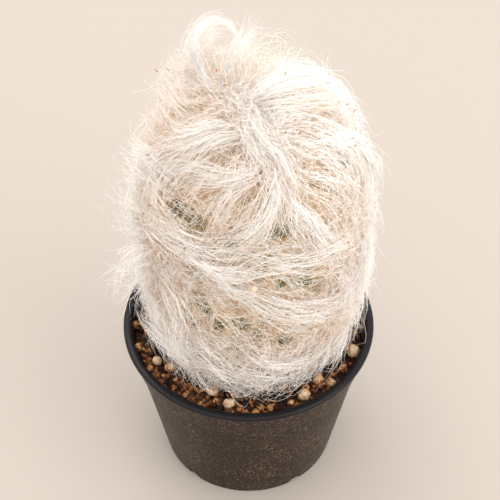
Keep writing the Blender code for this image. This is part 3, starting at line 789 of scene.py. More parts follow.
def rays(spots):
    """The camera's place, and the way from it to each of these pixels of the photograph."""
    spots = np.asarray(spots, float)
    rise, focal = CAMERA_RISE, PHOTO_SIDE * CAMERA_LENS / SENSOR
    ahead = np.array((0.0, math.cos(rise), -math.sin(rise)))
    upright = np.array((0.0, math.sin(rise), math.cos(rise)))
    across = (spots[:, 0] - PHOTO_SIDE / 2) / focal + CAMERA_SHIFT * SENSOR / CAMERA_LENS
    ways = ahead + across[:, None] * np.array((1.0, 0.0, 0.0))
    ways = ways + ((PHOTO_SIDE / 2 - spots[:, 1]) / focal)[:, None] * upright
    return np.array((0.0, 0.0, TARGET_HEIGHT)) - CAMERA_DISTANCE * ahead, unit(ways)


def seen_on_plant(spots):
    """Points at pixels and heights over the stem; for a pixel off the plant, the nearest point."""
    eye, ways = rays(spots)
    steps = np.linspace(*SIGHT_RANGE, SIGHT_STEPS)
    line = eye + ways[:, None, :] * steps[:, None]
    over = height_over(line) - np.asarray(spots, float)[:, 2:3] * MM
    first = np.argmax(over <= 0.0, axis=1)
    chosen = np.where(over.min(axis=1) <= 0.0, first, over.argmin(axis=1))
    return line[np.arange(len(line)), chosen]


def seen_on_level(spots, level):
    """Points at pixels on the plane at this height."""
    eye, ways = rays(spots)
    return eye + ways * ((level - eye[2]) / ways[:, 2])[:, None]


# Hair


def smooth_route(points, samples=48):
    """Even steps along a smooth curve through the given points."""
    points = np.asarray(points, float)
    ends = (2 * points[0] - points[1], 2 * points[-1] - points[-2])
    padded = np.vstack([ends[0], points, ends[1]])
    fine = []
    for i in range(1, len(padded) - 2):
        before, low, high, after = padded[i - 1 : i + 3]
        for t in np.linspace(0.0, 1.0, 16, endpoint=False):
            fine.append(
                0.5
                * (
                    2 * low
                    + (high - before) * t
                    + (2 * before - 5 * low + 4 * high - after) * t * t
                    + (3 * low - before - 3 * high + after) * t**3
                )
            )
    fine.append(points[-1])
    fine = np.array(fine)
    gone = np.concatenate([[0.0], np.cumsum(np.linalg.norm(np.diff(fine[:, :3], axis=0), axis=1))])
    even = np.linspace(0.0, gone[-1], samples)
    return np.stack([np.interp(even, gone, fine[:, k]) for k in range(fine.shape[1])], axis=1)


def backs_of(points):
    """The outward direction at each point: away from the middle of the rounded column."""
    core = np.minimum(points[..., 2], CROWN_LEVEL - CROWN_MIDDLE)
    middle = np.stack([np.zeros_like(core), np.zeros_like(core), core], axis=-1) + STEM_SHIFT
    return unit(points - middle)


def wander(draws, hairs, points, amount):
    """A gentle random drift that grows along each hair, two numbers a point."""
    steps = draws.normal(0.0, 1.0, (hairs, points, 2)) / points**1.5
    steps[:, 0] = 0.0
    return amount * 1.7 * np.cumsum(np.cumsum(steps, axis=1), axis=1)


def kinked(paths, draws, amount):
    """The hairs with their points moved at random, as frizz that grows to the ends and low down."""
    moved = draws.normal(0.0, 1.0, paths.shape) * np.asarray(amount)[..., None, None]
    frizz = lerp(LOW_FRIZZ, 1.0, smooth((paths[..., 2:] - 75.0 * MM) / (35.0 * MM)))
    return paths + moved * frizz * np.linspace(0.0, 1.4, paths.shape[1])[:, None]


def comb(route, draws, hairs, width, thickness, points=8, fray=1.0):
    """Hairs that follow a route as one soft lock: gathered at the root and loose at the end."""
    line = smooth_route(route)
    along = unit(np.gradient(line, axis=0))
    side = unit(np.cross(along, backs_of(line)))
    up = unit(np.cross(side, along))
    start = draws.uniform(0.0, 0.3, hairs)
    end = 1.0 - 0.45 * draws.uniform(0.0, 1.0, hairs) ** 1.5
    share = start[:, None] + (end - start)[:, None] * np.linspace(0.0, 1.0, points)
    at = share * (len(line) - 1)
    low = np.clip(at.astype(int), 0, len(line) - 2)
    part = (at - low)[..., None]
    base, over, across = (lerp(values[low], values[low + 1], part) for values in (line, up, side))
    spread = lerp(0.45, 1.0, smooth(share / 0.35)) * lerp(1.0, 1.4, share)
    strands = max(2, hairs // 10)
    strand = draws.integers(0, strands, hairs)

    def shared(amount):
        by_strand = draws.normal(0.0, 1.0, strands)[strand]
        return amount * (0.6 * by_strand + 0.8 * draws.normal(0.0, 1.0, hairs))

    offset = shared(0.45)
    offset = np.where(draws.uniform(size=hairs) < 0.15, 2.2 * offset, offset)
    cross_over = shared(0.8)[:, None] * (share - 0.35)
    loose = np.where(draws.uniform(size=hairs) < 0.3, 3.0, 1.0)[:, None, None]
    sway = 0.5 * fray * min(width, MOST_SWAY)
    drift = wander(draws, strands, points, 1.2 * sway)[strand] + wander(draws, hairs, points, sway) * loose
    sideways = width * (offset[:, None] * spread + cross_over) + drift[..., 0]
    upwards = thickness * shared(0.5)[:, None] * spread + 0.7 * drift[..., 1]
    made = base + across * sideways[..., None] + over * upwards[..., None]
    return kinked(made, draws, 0.12 * sway)


def spots_of(marks, height):
    """The points on the plant of marks, each (x, y, size), at this height, and the marks' sizes."""
    points = seen_on_plant([(x, y, height) for x, y, _ in marks])
    return points, np.array([size for _, _, size in marks]) * MM


def nearness(points, marks, height):
    """How far each point is from the nearest mark, as a share of that mark's size."""
    spots, sizes = spots_of(marks, height)
    return (np.linalg.norm(points[..., None, :] - spots, axis=-1) / sizes).min(axis=-1)


def thinned(paths, draws, keep=0.15):
    """Which hairs stay where the photograph shows the stem: few on the line of sight to a gap."""
    eye, ways = rays([(x, y) for x, y, _ in GAPS])
    spots, sizes = spots_of(GAPS, -1.0)
    deep = np.linalg.norm(spots - eye, axis=1)
    seen = paths[:, :, None, :] - eye
    along = (seen * ways).sum(axis=-1)
    away = np.linalg.norm(seen - along[..., None] * ways, axis=-1) / sizes
    crossed = np.where(along < deep, away, 9.0).min(axis=(1, 2))
    return draws.uniform(size=len(paths)) < lerp(keep, 1.0, smooth((crossed - 0.7) / 0.6))


def sparse(paths, draws, share, depth=BARE_FOOT):
    """Which hairs stay near the soil, where the coat grows thin: this share of the lowest go."""
    low = smooth(1.0 - (paths[..., 2].mean(axis=1) - SOIL_LEVEL) / depth)
    return draws.uniform(size=len(paths)) > share * low


def pressed(paths, most):
    """The same hairs with what stands higher over the stem than this brought nearer to it."""
    return paths - backs_of(paths) * (0.65 * np.maximum(height_over(paths) - most, 0.0))[..., None]


def settle(paths, lowest=HAIR_CLEAR):
    """Lifts points out of the stem and off the soil, and keeps the low ones inside the pot."""
    over = height_over(paths)
    paths = paths + backs_of(paths) * np.maximum(lowest - over, 0.0)[..., None]
    reach = np.hypot(paths[..., 0], paths[..., 1])
    low = 1.0 - smooth((paths[..., 2] - SOIL_LEVEL) / SKIRT_HEIGHT)
    own = np.modf(np.arange(len(paths)) * 0.618)[0][:, None]
    toward = (paths[..., 0] * SHORT_SIDE[0] + paths[..., 1] * SHORT_SIDE[1]) / np.maximum(reach, 1e-9)
    short = np.clip(0.45 + 0.55 * toward, 0.0, 1.0) * SKIRT_SHORT
    most = np.where(low > 0.0, lerp(48.0 * MM, lerp(*SKIRT_REACH, own**2.5) - short, low), 60.0 * MM)
    shrink = np.where(reach > most, most / np.maximum(reach, 1e-9), 1.0)
    paths[..., :2] *= shrink[..., None]
    paths[..., 2] = np.maximum(paths[..., 2], SOIL_LEVEL + lerp(0.9, 4.2, own**2) * MM)
    return paths


def laid(draws, angles, runs, rise, frizz, lowest=HAIR_CLEAR):
    """Frizzy hairs over the stem from their angles, runs and heights."""
    return settle(kinked(place(angles, np.abs(runs), rise), draws, frizz), lowest)


def together(parts):
    """The paths and the tones of several lots of hairs, each given as (paths, tones)."""
    return [np.concatenate(lots) for lots in zip(*parts)]


def grow(name, paths, tones, finish, width, node="wool", slot="wool_fibre"):
    """A piece of closed three-sided hairs along the paths, each point with its own tone."""
    hairs, points = paths.shape[:2]
    section = bpy.data.curves.new("hair_section", "CURVE")
    ring = section.splines.new("POLY")
    ring.points.add(2)
    ring.use_cyclic_u = True
    for i, point in enumerate(ring.points):
        turn = math.tau * i / 3
        point.co = (math.cos(turn), math.sin(turn), 0.0, 1.0)
    section_object = bpy.data.objects.new("hair_section", section)
    curve = bpy.data.curves.new(name, "CURVE")
    curve.dimensions = "3D"
    curve.bevel_mode = "OBJECT"
    curve.bevel_object = section_object
    taper = np.interp(np.linspace(0.0, 1.0, points), (0.0, 0.1, 0.7, 1.0), (0.0, 1.0, 0.8, 0.0))
    radii = (0.5 * width * taper).astype(np.float32)
    flat = np.ones((hairs, points, 4), np.float32)
    flat[..., :3] = paths
    flat[..., 2] += np.linspace(0.0, 0.05 * MM, points)
    for row in flat:
        spline = curve.splines.new("POLY")
        spline.points.add(points - 1)
        spline.points.foreach_set("co", row.ravel())
        spline.points.foreach_set("radius", radii)
    holder = bpy.data.objects.new(name, curve)
    for item in (section_object, holder):
        bpy.context.scene.collection.objects.link(item)
    graph = bpy.context.evaluated_depsgraph_get()
    mesh = bpy.data.meshes.new_from_object(holder.evaluated_get(graph))
    for item in (holder, section_object):
        bpy.data.objects.remove(item)
    shades = np.repeat(tones, 3, axis=1).astype(np.float32)
    if len(mesh.vertices) != shades.size:
        raise RuntimeError(f"{name}: {len(mesh.vertices)} points, {shades.size} tones")
    layer = mesh.attributes.new("tone", "FLOAT", "POINT")
    layer.data.foreach_set("value", shades.ravel())
    bm = bmesh.new()
    bm.from_mesh(mesh)
    bmesh.ops.remove_doubles(bm, verts=bm.verts, dist=1e-6)
    bm.to_mesh(mesh)
    bm.free()
    mesh.shade_smooth()
    add_piece(name, mesh, finish, node)


def tones_of(paths, draws, tone, deep=0.12, vary=0.08, clear=3.3):
    """Paler with height over the stem, the tan low down partly older wool and partly painted shade; darker
    and creamier round listed spots as painted shade; a little different from hair to hair.
    """
    crown = smooth((paths[..., 2] - CROWN_LEVEL + 12.0 * MM) / (14.0 * MM))
    # Hair low over the stem gets a darker tan tone: partly older wool, partly painted shade under the
    # coat.
    depth = smooth(height_over(paths) / (lerp(clear, 1.7 * clear, crown) * MM))
    own = np.asarray(tone) + draws.normal(0.0, vary, len(paths))
    # Painted shade: the hair is dimmed round the listed spots.
    white = 1.0 - PAINTED_SHADE_SHARE * smooth(1.6 * (1.0 - nearness(paths, PAINTED_SHADE_SPOTS, 3.0)))
    aged_and_shaded_tone = lerp(lerp(deep, max(deep, 0.45), crown), 1.0, depth)
    return np.clip(aged_and_shaded_tone * own[:, None] * white, 0.0, 1.0)


def off_the_soil(path, angles):
    """Points that would reach the soil are lifted clear of it and moved out, inside the rim."""
    drop = FRINGE_LEVEL - path[:, 2]
    flat = path - STEM_SHIFT
    reach = np.minimum(np.hypot(flat[:, 0], flat[:, 1]) + 0.5 * drop, FRINGE_REACH)
    level = np.full(len(path), FRINGE_LEVEL)
    moved = np.stack([reach * np.cos(angles), reach * np.sin(angles), level], axis=1)
    return np.where((drop > 0.0)[:, None], moved + STEM_SHIFT * (1.0, 1.0, 0.0), path)


def lock_route(angle, run, draws):
    """The middle line of a lock that rises from its groove, and then lies over the tubercles."""
    length = draws.uniform(*LOCK_LENGTH) * MM
    crest = draws.uniform(*LOCK_HEIGHT) * MM
    turn = flow(angle, run) + draws.uniform(-0.12, 0.12)
    curl = draws.uniform(-0.35, 0.35)
    angles, runs, heights = [angle], [run], [0.2 * MM]
    step = length / LOCK_STEPS
    for i in range(1, LOCK_STEPS + 1):
        share = i / LOCK_STEPS
        heading = turn + curl * share
        pace = step * (0.6 if i == 1 else 1.0)
        run += pace * math.cos(heading)
        angle += pace * math.sin(heading) / max(radius_at(run), 8.0 * MM)
        angles.append(angle)
        runs.append(run)
        heights.append(LOCK_CLEAR + crest * (0.16 + 0.84 * share))
    angles = np.array(angles)
    return off_the_soil(place(angles, np.array(runs), np.array(heights)), angles)


def crown_lock_route(angle, run, draws):
    """A longer lock that rises from the crown and arches outwards."""
    length = draws.uniform(*CROWN_LOCK_LENGTH) * MM
    crest = draws.uniform(*CROWN_LOCK_HEIGHT) * MM
    turn = draws.uniform(-0.5, 0.5)
    route = [place(angle, run, 0.4 * CAP_THICKNESS)]
    step = length / LOCK_STEPS
    for i in range(1, LOCK_STEPS + 1):
        share = i / LOCK_STEPS
        run += step * math.cos(turn)
        angle += step * math.sin(turn) / max(radius_at(run), 8.0 * MM)
        route.append(place(angle, run, CAP_THICKNESS + crest * smooth(1.6 * share)))
    return np.array(route)


def solid_lock_routes():
    """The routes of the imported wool's locks, drawn in the same order, so the hair keeps its form."""
    draws = random.Random(SEED)
    body, crown = [], []
    for row in range(ROWS):
        run = STRAND_START + LOCK_EVERY * (0.25 + (row * 5 % ROWS) / ROWS)
        while run < RUN_END - 7.0 * MM:
            count = count_at(run)
            width = LOCK_WIDTH * draws.uniform(0.8, 1.15)
            body.append((lock_route(row_angle(row, count), run, draws), width))
            here = place(row_angle(row, count), run)
            ahead = place(row_angle(row, count + ROWS), run_of(count + ROWS))
            run += LOCK_EVERY * (run_of(count + ROWS) - run) / max(np.linalg.norm(ahead - here), MM)
    for i in range(CROWN_LOCKS):
        run = lerp(9.0 * MM, 20.0 * MM, (i * 7 % CROWN_LOCKS) / CROWN_LOCKS)
        crown.append((crown_lock_route(i * math.tau / CROWN_LOCKS, run, draws), LOCK_WIDTH))
    return body, crown


def swirl(draws, size):
    """A smooth random field over space, from about -1 to 1, with features of this size."""
    ways = draws.normal(0.0, 1.0, (3, 7))
    waves = ways / np.linalg.norm(ways, axis=0) * draws.uniform(0.7, 1.4, 7) * math.tau / size
    starts = draws.uniform(0.0, math.tau, 7)
    return lambda points: np.sin(points @ waves + starts).sum(axis=-1) / 2.6


def walk(draws, angle, run, turn, curl, length, steps, roam=0.0, field=None):
    """Paths over the stem from many roots, in angle and run: they curl, roam and follow a field."""
    angles, runs = [angle], [run]
    step = length / (steps - 1)
    strayed = 0.0
    for i in range(1, steps):
        strayed = strayed + roam * draws.normal(0.0, 1.0, len(angle))
        heading = turn + strayed + curl * i / (steps - 1)
        if field:
            heading = heading + field(place(angle, run))
        run = run + step * np.cos(heading)
        angle = angle + step * np.sin(heading) / np.maximum(radius_at(np.abs(run)), 6.0 * MM)
        angles.append(angle)
        runs.append(run)
    return np.stack(angles, axis=1), np.stack(runs, axis=1)


def scatter(draws, count, first_run=0.0, last_run=RUN_END):
    """Random roots, even over the stem's area between two runs."""
    areas = np.interp((first_run, last_run), OUTLINE_RUN, OUTLINE_AREA)
    run = np.interp(draws.uniform(*areas, count), OUTLINE_AREA, OUTLINE_RUN)
    return draws.uniform(0.0, math.tau, count), run


def hair_finish(settings):
    """White hair that turns tan with depth, the tan partly older wool and partly painted shade; soft and a
    little glossy.
    """
    found = bpy.data.materials.get("wool_hair")
    if found:
        return found
    made, tree, shader = new_finish("wool_hair", 0.6, 0.15)
    white, tan = Vector(settings.white), Vector(settings.tan)
    stops = [(0.0, tan * 0.8), (0.35, tan.lerp(white, 0.3)), (0.65, tan.lerp(white, 0.7)), (0.9, white)]
    paint(tree, shader, ramp(tree, attribute(tree, "tone"), stops))
    shader.inputs["Subsurface Weight"].default_value = 0.35
    shader.inputs["Subsurface Radius"].default_value = (1.0, 0.8, 0.6)
    shader.inputs["Subsurface Scale"].default_value = 1.0 * MM
    return made


# Pot


def pot_radius(height):
    """The outer radius of the straight wall, without the collar's step."""
    return lerp(BASE_RADIUS, WALL_TOP_RADIUS, height / POT_HEIGHT)


SOIL_RADIUS = pot_radius(SOIL_LEVEL) - WALL - SOIL_GAP


def pot_profile():
    collar = POT_HEIGHT - COLLAR_HEIGHT
    lip_foot = POT_HEIGHT - LIP_HEIGHT
    lip_middle = (RIM_RADIUS - LIP_WIDTH / 2, POT_HEIGHT - LIP_HEIGHT / 2)
    points = [(0.0, 0.0), (BASE_RADIUS - BASE_CHAMFER, 0.0)]
    points += [(pot_radius(0.2 * BASE_CHAMFER) - 0.3 * BASE_CHAMFER, 0.2 * BASE_CHAMFER)]
    points += [(pot_radius(BASE_CHAMFER), BASE_CHAMFER)]
    points += [(pot_radius(height * MM), height * MM) for height in (8.0, 18.0, 28.0, 38.0)]
    for share, level in ((0.0, 0.0), (0.35, 0.1), (0.9, 0.65), (1.1, 1.0)):
        radius = pot_radius(collar - COLLAR_STEP) + share * COLLAR_STEP
        points += [(radius, collar - COLLAR_STEP * (1.0 - level))]
    points += [(pot_radius(collar + MM) + COLLAR_STEP, collar + MM)]
    points += [(pot_radius(lip_foot - MM) + COLLAR_STEP, lip_foot - MM)]
    points += [(pot_radius(lip_foot) + COLLAR_STEP, lip_foot + 0.2 * MM)]
    for i in range(LIP_CORNERS + 1):
        turn = math.radians(lerp(*LIP_SWEEP, i / LIP_CORNERS))
        out = math.copysign(abs(math.cos(turn)) ** LIP_SQUARE, math.cos(turn))
        up = math.copysign(abs(math.sin(turn)) ** LIP_SQUARE, math.sin(turn))
        points += [(lip_middle[0] + LIP_WIDTH / 2 * out, lip_middle[1] + LIP_HEIGHT / 2 * up)]
    points += [(pot_radius(lip_foot) - WALL, lip_foot - MM)]
    points += [(pot_radius(FLOOR) - WALL, FLOOR), (0.0, FLOOR)]
    return points


def lathe(profile, sides):
    """A closed bmesh turned round Z from (radius, height) points that start and end on the axis."""
    bm = bmesh.new()
    verts = [bm.verts.new((radius, 0.0, height)) for radius, height in profile]
    edges = [bm.edges.new(pair) for pair in zip(verts, verts[1:])]
    bmesh.ops.spin(
        bm, geom=verts + edges, cent=(0, 0, 0), axis=(0, 0, 1), angle=math.tau, steps=sides, use_merge=True
    )
    bmesh.ops.remove_doubles(bm, verts=bm.verts, dist=1e-6)
    bmesh.ops.recalc_face_normals(bm, faces=bm.faces)
    return bm


def notched(mesh):
    """The mesh with the round-topped drainage notches cut through the base's edge."""
    cutter_bm = bmesh.new()
    for i in range(NOTCHES):
        turn = math.radians(NOTCH_FIRST_ANGLE + i * 360.0 / NOTCHES)
        bmesh.ops.create_cone(
            cutter_bm,
            cap_ends=True,
            segments=32,
            radius1=NOTCH_RADIUS,
            radius2=NOTCH_RADIUS,
            depth=NOTCH_DEPTH,
            matrix=Matrix.Rotation(turn, 4, "Z")
            @ Matrix.Translation((BASE_RADIUS, 0.0, 0.0))
            @ Matrix.Rotation(math.pi / 2, 4, "Y"),
        )
    cutter = bpy.data.objects.new("notch_cutter", mesh_of(cutter_bm, "notch_cutter"))
    holder = bpy.data.objects.new("pot_blank", mesh)
    for item in (cutter, holder):
        bpy.context.scene.collection.objects.link(item)
    cut = holder.modifiers.new("notches", "BOOLEAN")
    cut.operation = "DIFFERENCE"
    cut.object = cutter
    cut.solver = "EXACT"
    graph = bpy.context.evaluated_depsgraph_get()
    result = bpy.data.meshes.new_from_object(holder.evaluated_get(graph))
    for item in (cutter, holder):
        bpy.data.objects.remove(item)
    return result


def pot_finish(settings):
    """Dark plastic: short straw flecks, fine grain, and a smoother lip."""
    made, tree, shader = new_finish("pot_plastic", 0.36, 0.14)
    fleck = cloudy(tree, 1.0, 1.5, FLECK_STRETCH)
    patch = remap(tree, cloudy(tree, 70.0, 2.0), (0.35, 0.65), (-0.03, 0.02))
    plastic, straw = Vector(settings.plastic), Vector(settings.straw)
    stops = [(0.4, plastic * 0.85), (0.6, plastic * 1.1), (0.65, plastic.lerp(straw, 0.3)), (0.72, straw)]
    body = ramp(tree, combine(tree, "ADD", fleck, patch), stops)
    height = height_on(tree)
    lip = (POT_HEIGHT - LIP_HEIGHT, POT_HEIGHT - 0.6 * LIP_HEIGHT)
    tree.links.new(remap(tree, height, lip, (0.42, 0.2)), shader.inputs["Roughness"])
    paint(tree, shader, blend(tree, remap(tree, height, lip, (0.0, 0.95)), body, LIP_COLOUR))
    bump(tree, shader, cloudy(tree, 900.0, 4.0, (1.0, 1.0, 2.2)), 0.2, 0.1 * MM)
    return made


# Soil


def crumb_finish(name, settings, stones):
    """Potting mix: each grain is mottled and rough, with its own tone from dark and rust to cream."""
    made, tree, shader = new_finish(name, 0.8, 0.3)
    spots = cloudy(tree, 620.0, 6.0, roughness=0.7)
    spread = 0.55 if stones else 0.22
    shift = remap(tree, spots, (0.4, 0.58), (-spread, spread / 3))
    rust, ochre, buff = (0.11, 0.04, 0.017), (0.42, 0.16, 0.045), (0.62, 0.37, 0.17)
    stops = [(0.0, settings.dark), (0.16, rust), (0.34, ochre), (0.6, buff), (0.9, settings.cream)]
    paint(tree, shader, ramp(tree, combine(tree, "ADD", attribute(tree, "tone"), shift), stops))
    pits = remap(tree, dotted(tree, 1100.0), (0.1, 0.5))
    bump(tree, shader, combine(tree, "MULTIPLY", pits, spots), 1.0, (0.5 if stones else 0.6) * MM)
    return made


def grain(shape, spot, size, tone, draws, squash):
    """A copy of a grain's mesh at its spot, turned and squashed at random, with its tone."""
    copy = shape.copy()
    sides = [size * draws.uniform(*squash) for _ in range(3)]
    turned = Euler([draws.uniform(0.0, math.tau) for _ in range(3)]).to_matrix().to_4x4()
    copy.transform(Matrix.Translation(spot) @ turned @ Matrix.Diagonal((*sides, 1.0)))
    layer = copy.attributes.new("tone", "FLOAT", "POINT")
    layer.data.foreach_set("value", [tone] * len(copy.vertices))
    return copy


def grain_shape(seed, subdivisions, rough, fineness):
    """A lumpy ball of radius 1."""
    bm = bmesh.new()
    bmesh.ops.create_icosphere(bm, subdivisions=subdivisions, radius=1.0)
    offset = Vector((seed * 7.3, seed * 3.1, seed * 5.7))
    for vert in bm.verts:
        vert.co *= 1.0 + rough * noise.fractal(vert.co * fineness + offset, 0.8, 2.0, 3)
    mesh = mesh_of(bm, "grain")
    mesh.shade_smooth()
    return mesh


def joined(parts, name):
    """One mesh of many small ones, which are removed."""
    bm = bmesh.new()
    for item in parts:
        bm.from_mesh(item)
        bpy.data.meshes.remove(item)
    return mesh_of(bm, name)


def soil_mesh():
    """The bed of soil, uneven on top, with a hole for the root neck."""
    bottom = FLOOR + 0.3 * MM
    hole = NECK_RADIUS + 1.7 * MM
    hole_foot = NECK_FOOT - 0.3 * MM
    profile = [(0.0, hole_foot), (hole, hole_foot)]
    for i in range(SOIL_RINGS + 1):
        profile.append((lerp(hole, SOIL_RADIUS, i / SOIL_RINGS), SOIL_LEVEL - 0.4 * MM))
    profile += [(pot_radius(bottom) - WALL - SOIL_GAP, bottom), (0.0, bottom)]
    bm = lathe(profile, SOIL_SIDES)
    layer = bm.verts.layers.float.new("tone")
    for vert in bm.verts:
        if vert.co.z > SOIL_LEVEL - MM and hole + MM < vert.co.xy.length < SOIL_RADIUS - 0.5 * MM:
            vert.co.z += 0.6 * MM * noise.noise(vert.co / (3.0 * MM))
        vert[layer] = SOIL_TONE
    mesh = mesh_of(bm, "soil_bed")
    mesh.shade_smooth()
    return mesh


def crumb_grains(draws, count):
    """Loose crumbs on the soil: every fourth is large and finer in shape."""
    shapes = [grain_shape(k, 1 if k < 5 else 2, 0.6, 1.7) for k in range(8)]
    made = []
    for i in range(count):
        large = i % 4 == 0
        share = lerp(0.45, 1.0, draws.random()) if large else draws.uniform(0.0, 0.5)
        size = lerp(*CRUMB_SIZE, share) * MM
        ring = math.sqrt(lerp(CRUMB_RING[0] ** 2, CRUMB_RING[1] ** 2, draws.random())) * MM
        ring = min(ring, SOIL_RADIUS - size * 1.05)
        turn = draws.uniform(0.0, math.tau)
        level = SOIL_LEVEL + draws.uniform(-0.3, 1.0) * MM
        tone = draws.choice(CRUMB_TONES)
        shape = shapes[5 + i % 3] if large else shapes[i % 5]
        spot = (ring * math.cos(turn), ring * math.sin(turn), level)
        made.append(grain(shape, spot, size, tone, draws, (0.65, 1.3)))
    return made


def pebble_grains(draws):
    """The pebbles where the photograph shows them, others behind, and the grain caught in the hair."""
    shapes = [grain_shape(k + 20, 3, 0.22, 2.2) for k in range(5)]
    spots = seen_on_level([(x, y) for x, y, _, _ in PEBBLES], PEBBLE_LEVEL)
    places = [(*spot[:2], row[2] * PIXEL_SIZE, row[3]) for spot, row in zip(spots, PEBBLES)]
    for i in range(BACK_PEBBLES):
        turn = math.radians(20.0 + i * 5.6)
        ring = draws.uniform(*BACK_RING) * MM
        size = draws.uniform(*BACK_SIZE) * MM
        places.append((ring * math.cos(turn), ring * math.sin(turn), size, draws.uniform(0.1, 1.0)))
    made = []
    for i, (x, y, size, tone) in enumerate(places):
        spot = (x, y, SOIL_LEVEL + 0.5 * MM + 0.55 * size)
        made.append(grain(shapes[i % len(shapes)], spot, size, tone, draws, (0.88, 1.05)))
    stray = seen_on_plant([STRAY_GRAIN])[0]
    return made + [grain(shapes[0], stray, STRAY_SIZE, STRAY_TONE, draws, (0.8, 1.0))]


# Stem


def sphere_place(angle, run):
    """Where a tubercle goes on a sphere that keeps angles, so that a hull joins neighbours."""
    widest = float(np.interp(WIDEST_LEVEL, OUTLINE_HEIGHT[::-1], OUTLINE_RUN[::-1]))
    runs = np.linspace(widest, max(run, 0.2 * MM), 200)
    reach = -float(np.sum(np.diff(runs) / np.interp(runs[:-1], OUTLINE_RUN, OUTLINE_RADIUS + 0.05 * MM)))
    wide = math.cosh(reach)
    return Vector((math.cos(angle) / wide, math.sin(angle) / wide, math.tanh(reach)))


def neck_mesh():
    """The root neck that goes down into the soil."""
    top = STEM_FOOT + 3.0 * MM
    profile = [(0.0, NECK_FOOT), (NECK_RADIUS * 0.8, NECK_FOOT), (NECK_RADIUS, NECK_FOOT + 5.0 * MM)]
    bm = lathe(profile + [(NECK_RADIUS, top), (0.0, top)], NECK_SIDES)
    bmesh.ops.translate(bm, verts=bm.verts, vec=Vector(STEM_SHIFT))
    return mesh_of(bm, "neck")


def stem_mesh():
    """Rounded cones on the golden-angle spiral, the skin between them sunk in, and the root neck."""
    bm = bmesh.new()
    number = bm.verts.layers.int.new("number")
    spots = [(count * GOLDEN_ANGLE, float(run_of(count + 0.5))) for count in range(TUBERCLES)]
    for count, spot in enumerate(spots, start=1):
        bm.verts.new(sphere_place(*spot))[number] = count
    pole_number = TUBERCLES + 1
    bm.verts.new((0.0, 0.0, -1.0))[number] = pole_number
    bmesh.ops.convex_hull(bm, input=bm.verts)
    skin = [face for face in bm.faces if all(vert[number] != pole_number for vert in face.verts)]
    inside = set(skin)
    ridges = [edge for edge in bm.edges if inside.issuperset(edge.link_faces)]
    for vert in bm.verts:
        if vert[number] == pole_number:
            vert.co = Vector((0.0, 0.0, STEM_FOOT - 0.5 * MM)) + Vector(STEM_SHIFT)
        else:
            vert.co = Vector(place(*spots[vert[number] - 1]))
    tips = {vert.co.to_tuple(6) for vert in bm.verts}
    bmesh.ops.poke(bm, faces=skin)
    bmesh.ops.rotate_edges(bm, edges=ridges)
    for vert in [vert for vert in bm.verts if vert.co.to_tuple(6) not in tips]:
        flat = vert.co - Vector(STEM_SHIFT)
        nearest = int(np.argmin(np.hypot(OUTLINE_RADIUS - flat.xy.length, OUTLINE_HEIGHT - flat.z)))
        run = float(OUTLINE_RUN[nearest])
        depth = TUBERCLE_DEPTH * lerp(0.35, 1.0, float(smooth(run / (24.0 * MM))))
        vert.co = Vector(place(math.atan2(flat.y, flat.x), run, -depth))
    bmesh.ops.subdivide_edges(bm, edges=bm.edges[:], cuts=2, use_grid_fill=True, smooth=0.35)
    bmesh.ops.smooth_vert(
        bm, verts=bm.verts, factor=0.5, use_axis_x=True, use_axis_y=True, use_axis_z=True
    )
    bmesh.ops.recalc_face_normals(bm, faces=bm.faces)
    mesh = joined([mesh_of(bm, "tubercles"), neck_mesh()], "stem_body")
    mesh.shade_smooth()
    points = np.array([vert.co for vert in mesh.vertices])
    layer = mesh.attributes.new("bare", "FLOAT", "POINT")
    layer.data.foreach_set("value", 1.0 - smooth((nearness(points, GAPS, -2.0) - 1.1) / 0.8))
    return mesh


def stem_finish(settings):
    """Cream felt over green waxy skin, which is bare where the hair parts, and a corky foot whose dark
    brown is partly painted shade near the soil.
    """
    made, tree, shader = new_finish("stem_skin", 0.6, 0.3)
    bare = remap(tree, attribute(tree, "bare"), (0.0, 1.0), (0.0, 0.3))
    cover = combine(tree, "SUBTRACT", cloudy(tree, 150.0, 4.0), bare)
    skin, felt = Vector(settings.skin), Vector(settings.felt)
    stops = [(0.2, skin * 0.7), (0.36, skin), (0.42, skin.lerp(felt, 0.5)), (0.5, felt)]
    height = height_on(tree)
    crown = remap(tree, height, (CROWN_LEVEL - 22.0 * MM, CROWN_LEVEL - 6.0 * MM))
    # Towards the soil the stem turns dark brown: cork, and painted shade.
    foot = remap(tree, height, (STEM_FOOT + 18.0 * MM, STEM_FOOT + 9.0 * MM))
    upper = blend(tree, crown, ramp(tree, cover, stops), CROWN_FELT)
    paint(tree, shader, blend(tree, foot, upper, CORK_AND_PAINTED_SHADE))
    bump(tree, shader, dotted(tree, 1500.0), 0.3, 0.15 * MM)
    return made


def star_paths(draws, per_star, length):
    """Bristles that spread from each tubercle's tip, almost flat against the stem."""
    count = np.repeat(np.arange(TUBERCLES), per_star)
    angle, run = count * GOLDEN_ANGLE, run_of(count + 0.5)
    root = place(angle, run, -0.3 * MM) + draws.normal(0.0, 0.05 * MM, (len(count), 3))
    out = outward(angle, run)
    across = np.stack([-np.sin(angle), np.cos(angle), np.zeros_like(angle)], axis=-1)
    down = np.cross(across, out)
    turn = math.tau * (np.arange(len(count)) / per_star) + draws.normal(0.0, 0.15, len(count))
    lean = draws.uniform(0.15, 0.6, len(count))[:, None]
    flat = across * np.cos(turn)[:, None] + down * np.sin(turn)[:, None]
    size = length * draws.uniform(0.7, 1.15, len(count)) * lerp(0.5, 1.0, smooth(run / (20 * MM)))
    size = size[:, None]
    middle = root + size * (0.5 * flat + 0.45 * lean * out)
    end = root + size * (flat + 0.6 * lean * out)
    return np.stack([root, middle, end], axis=1)


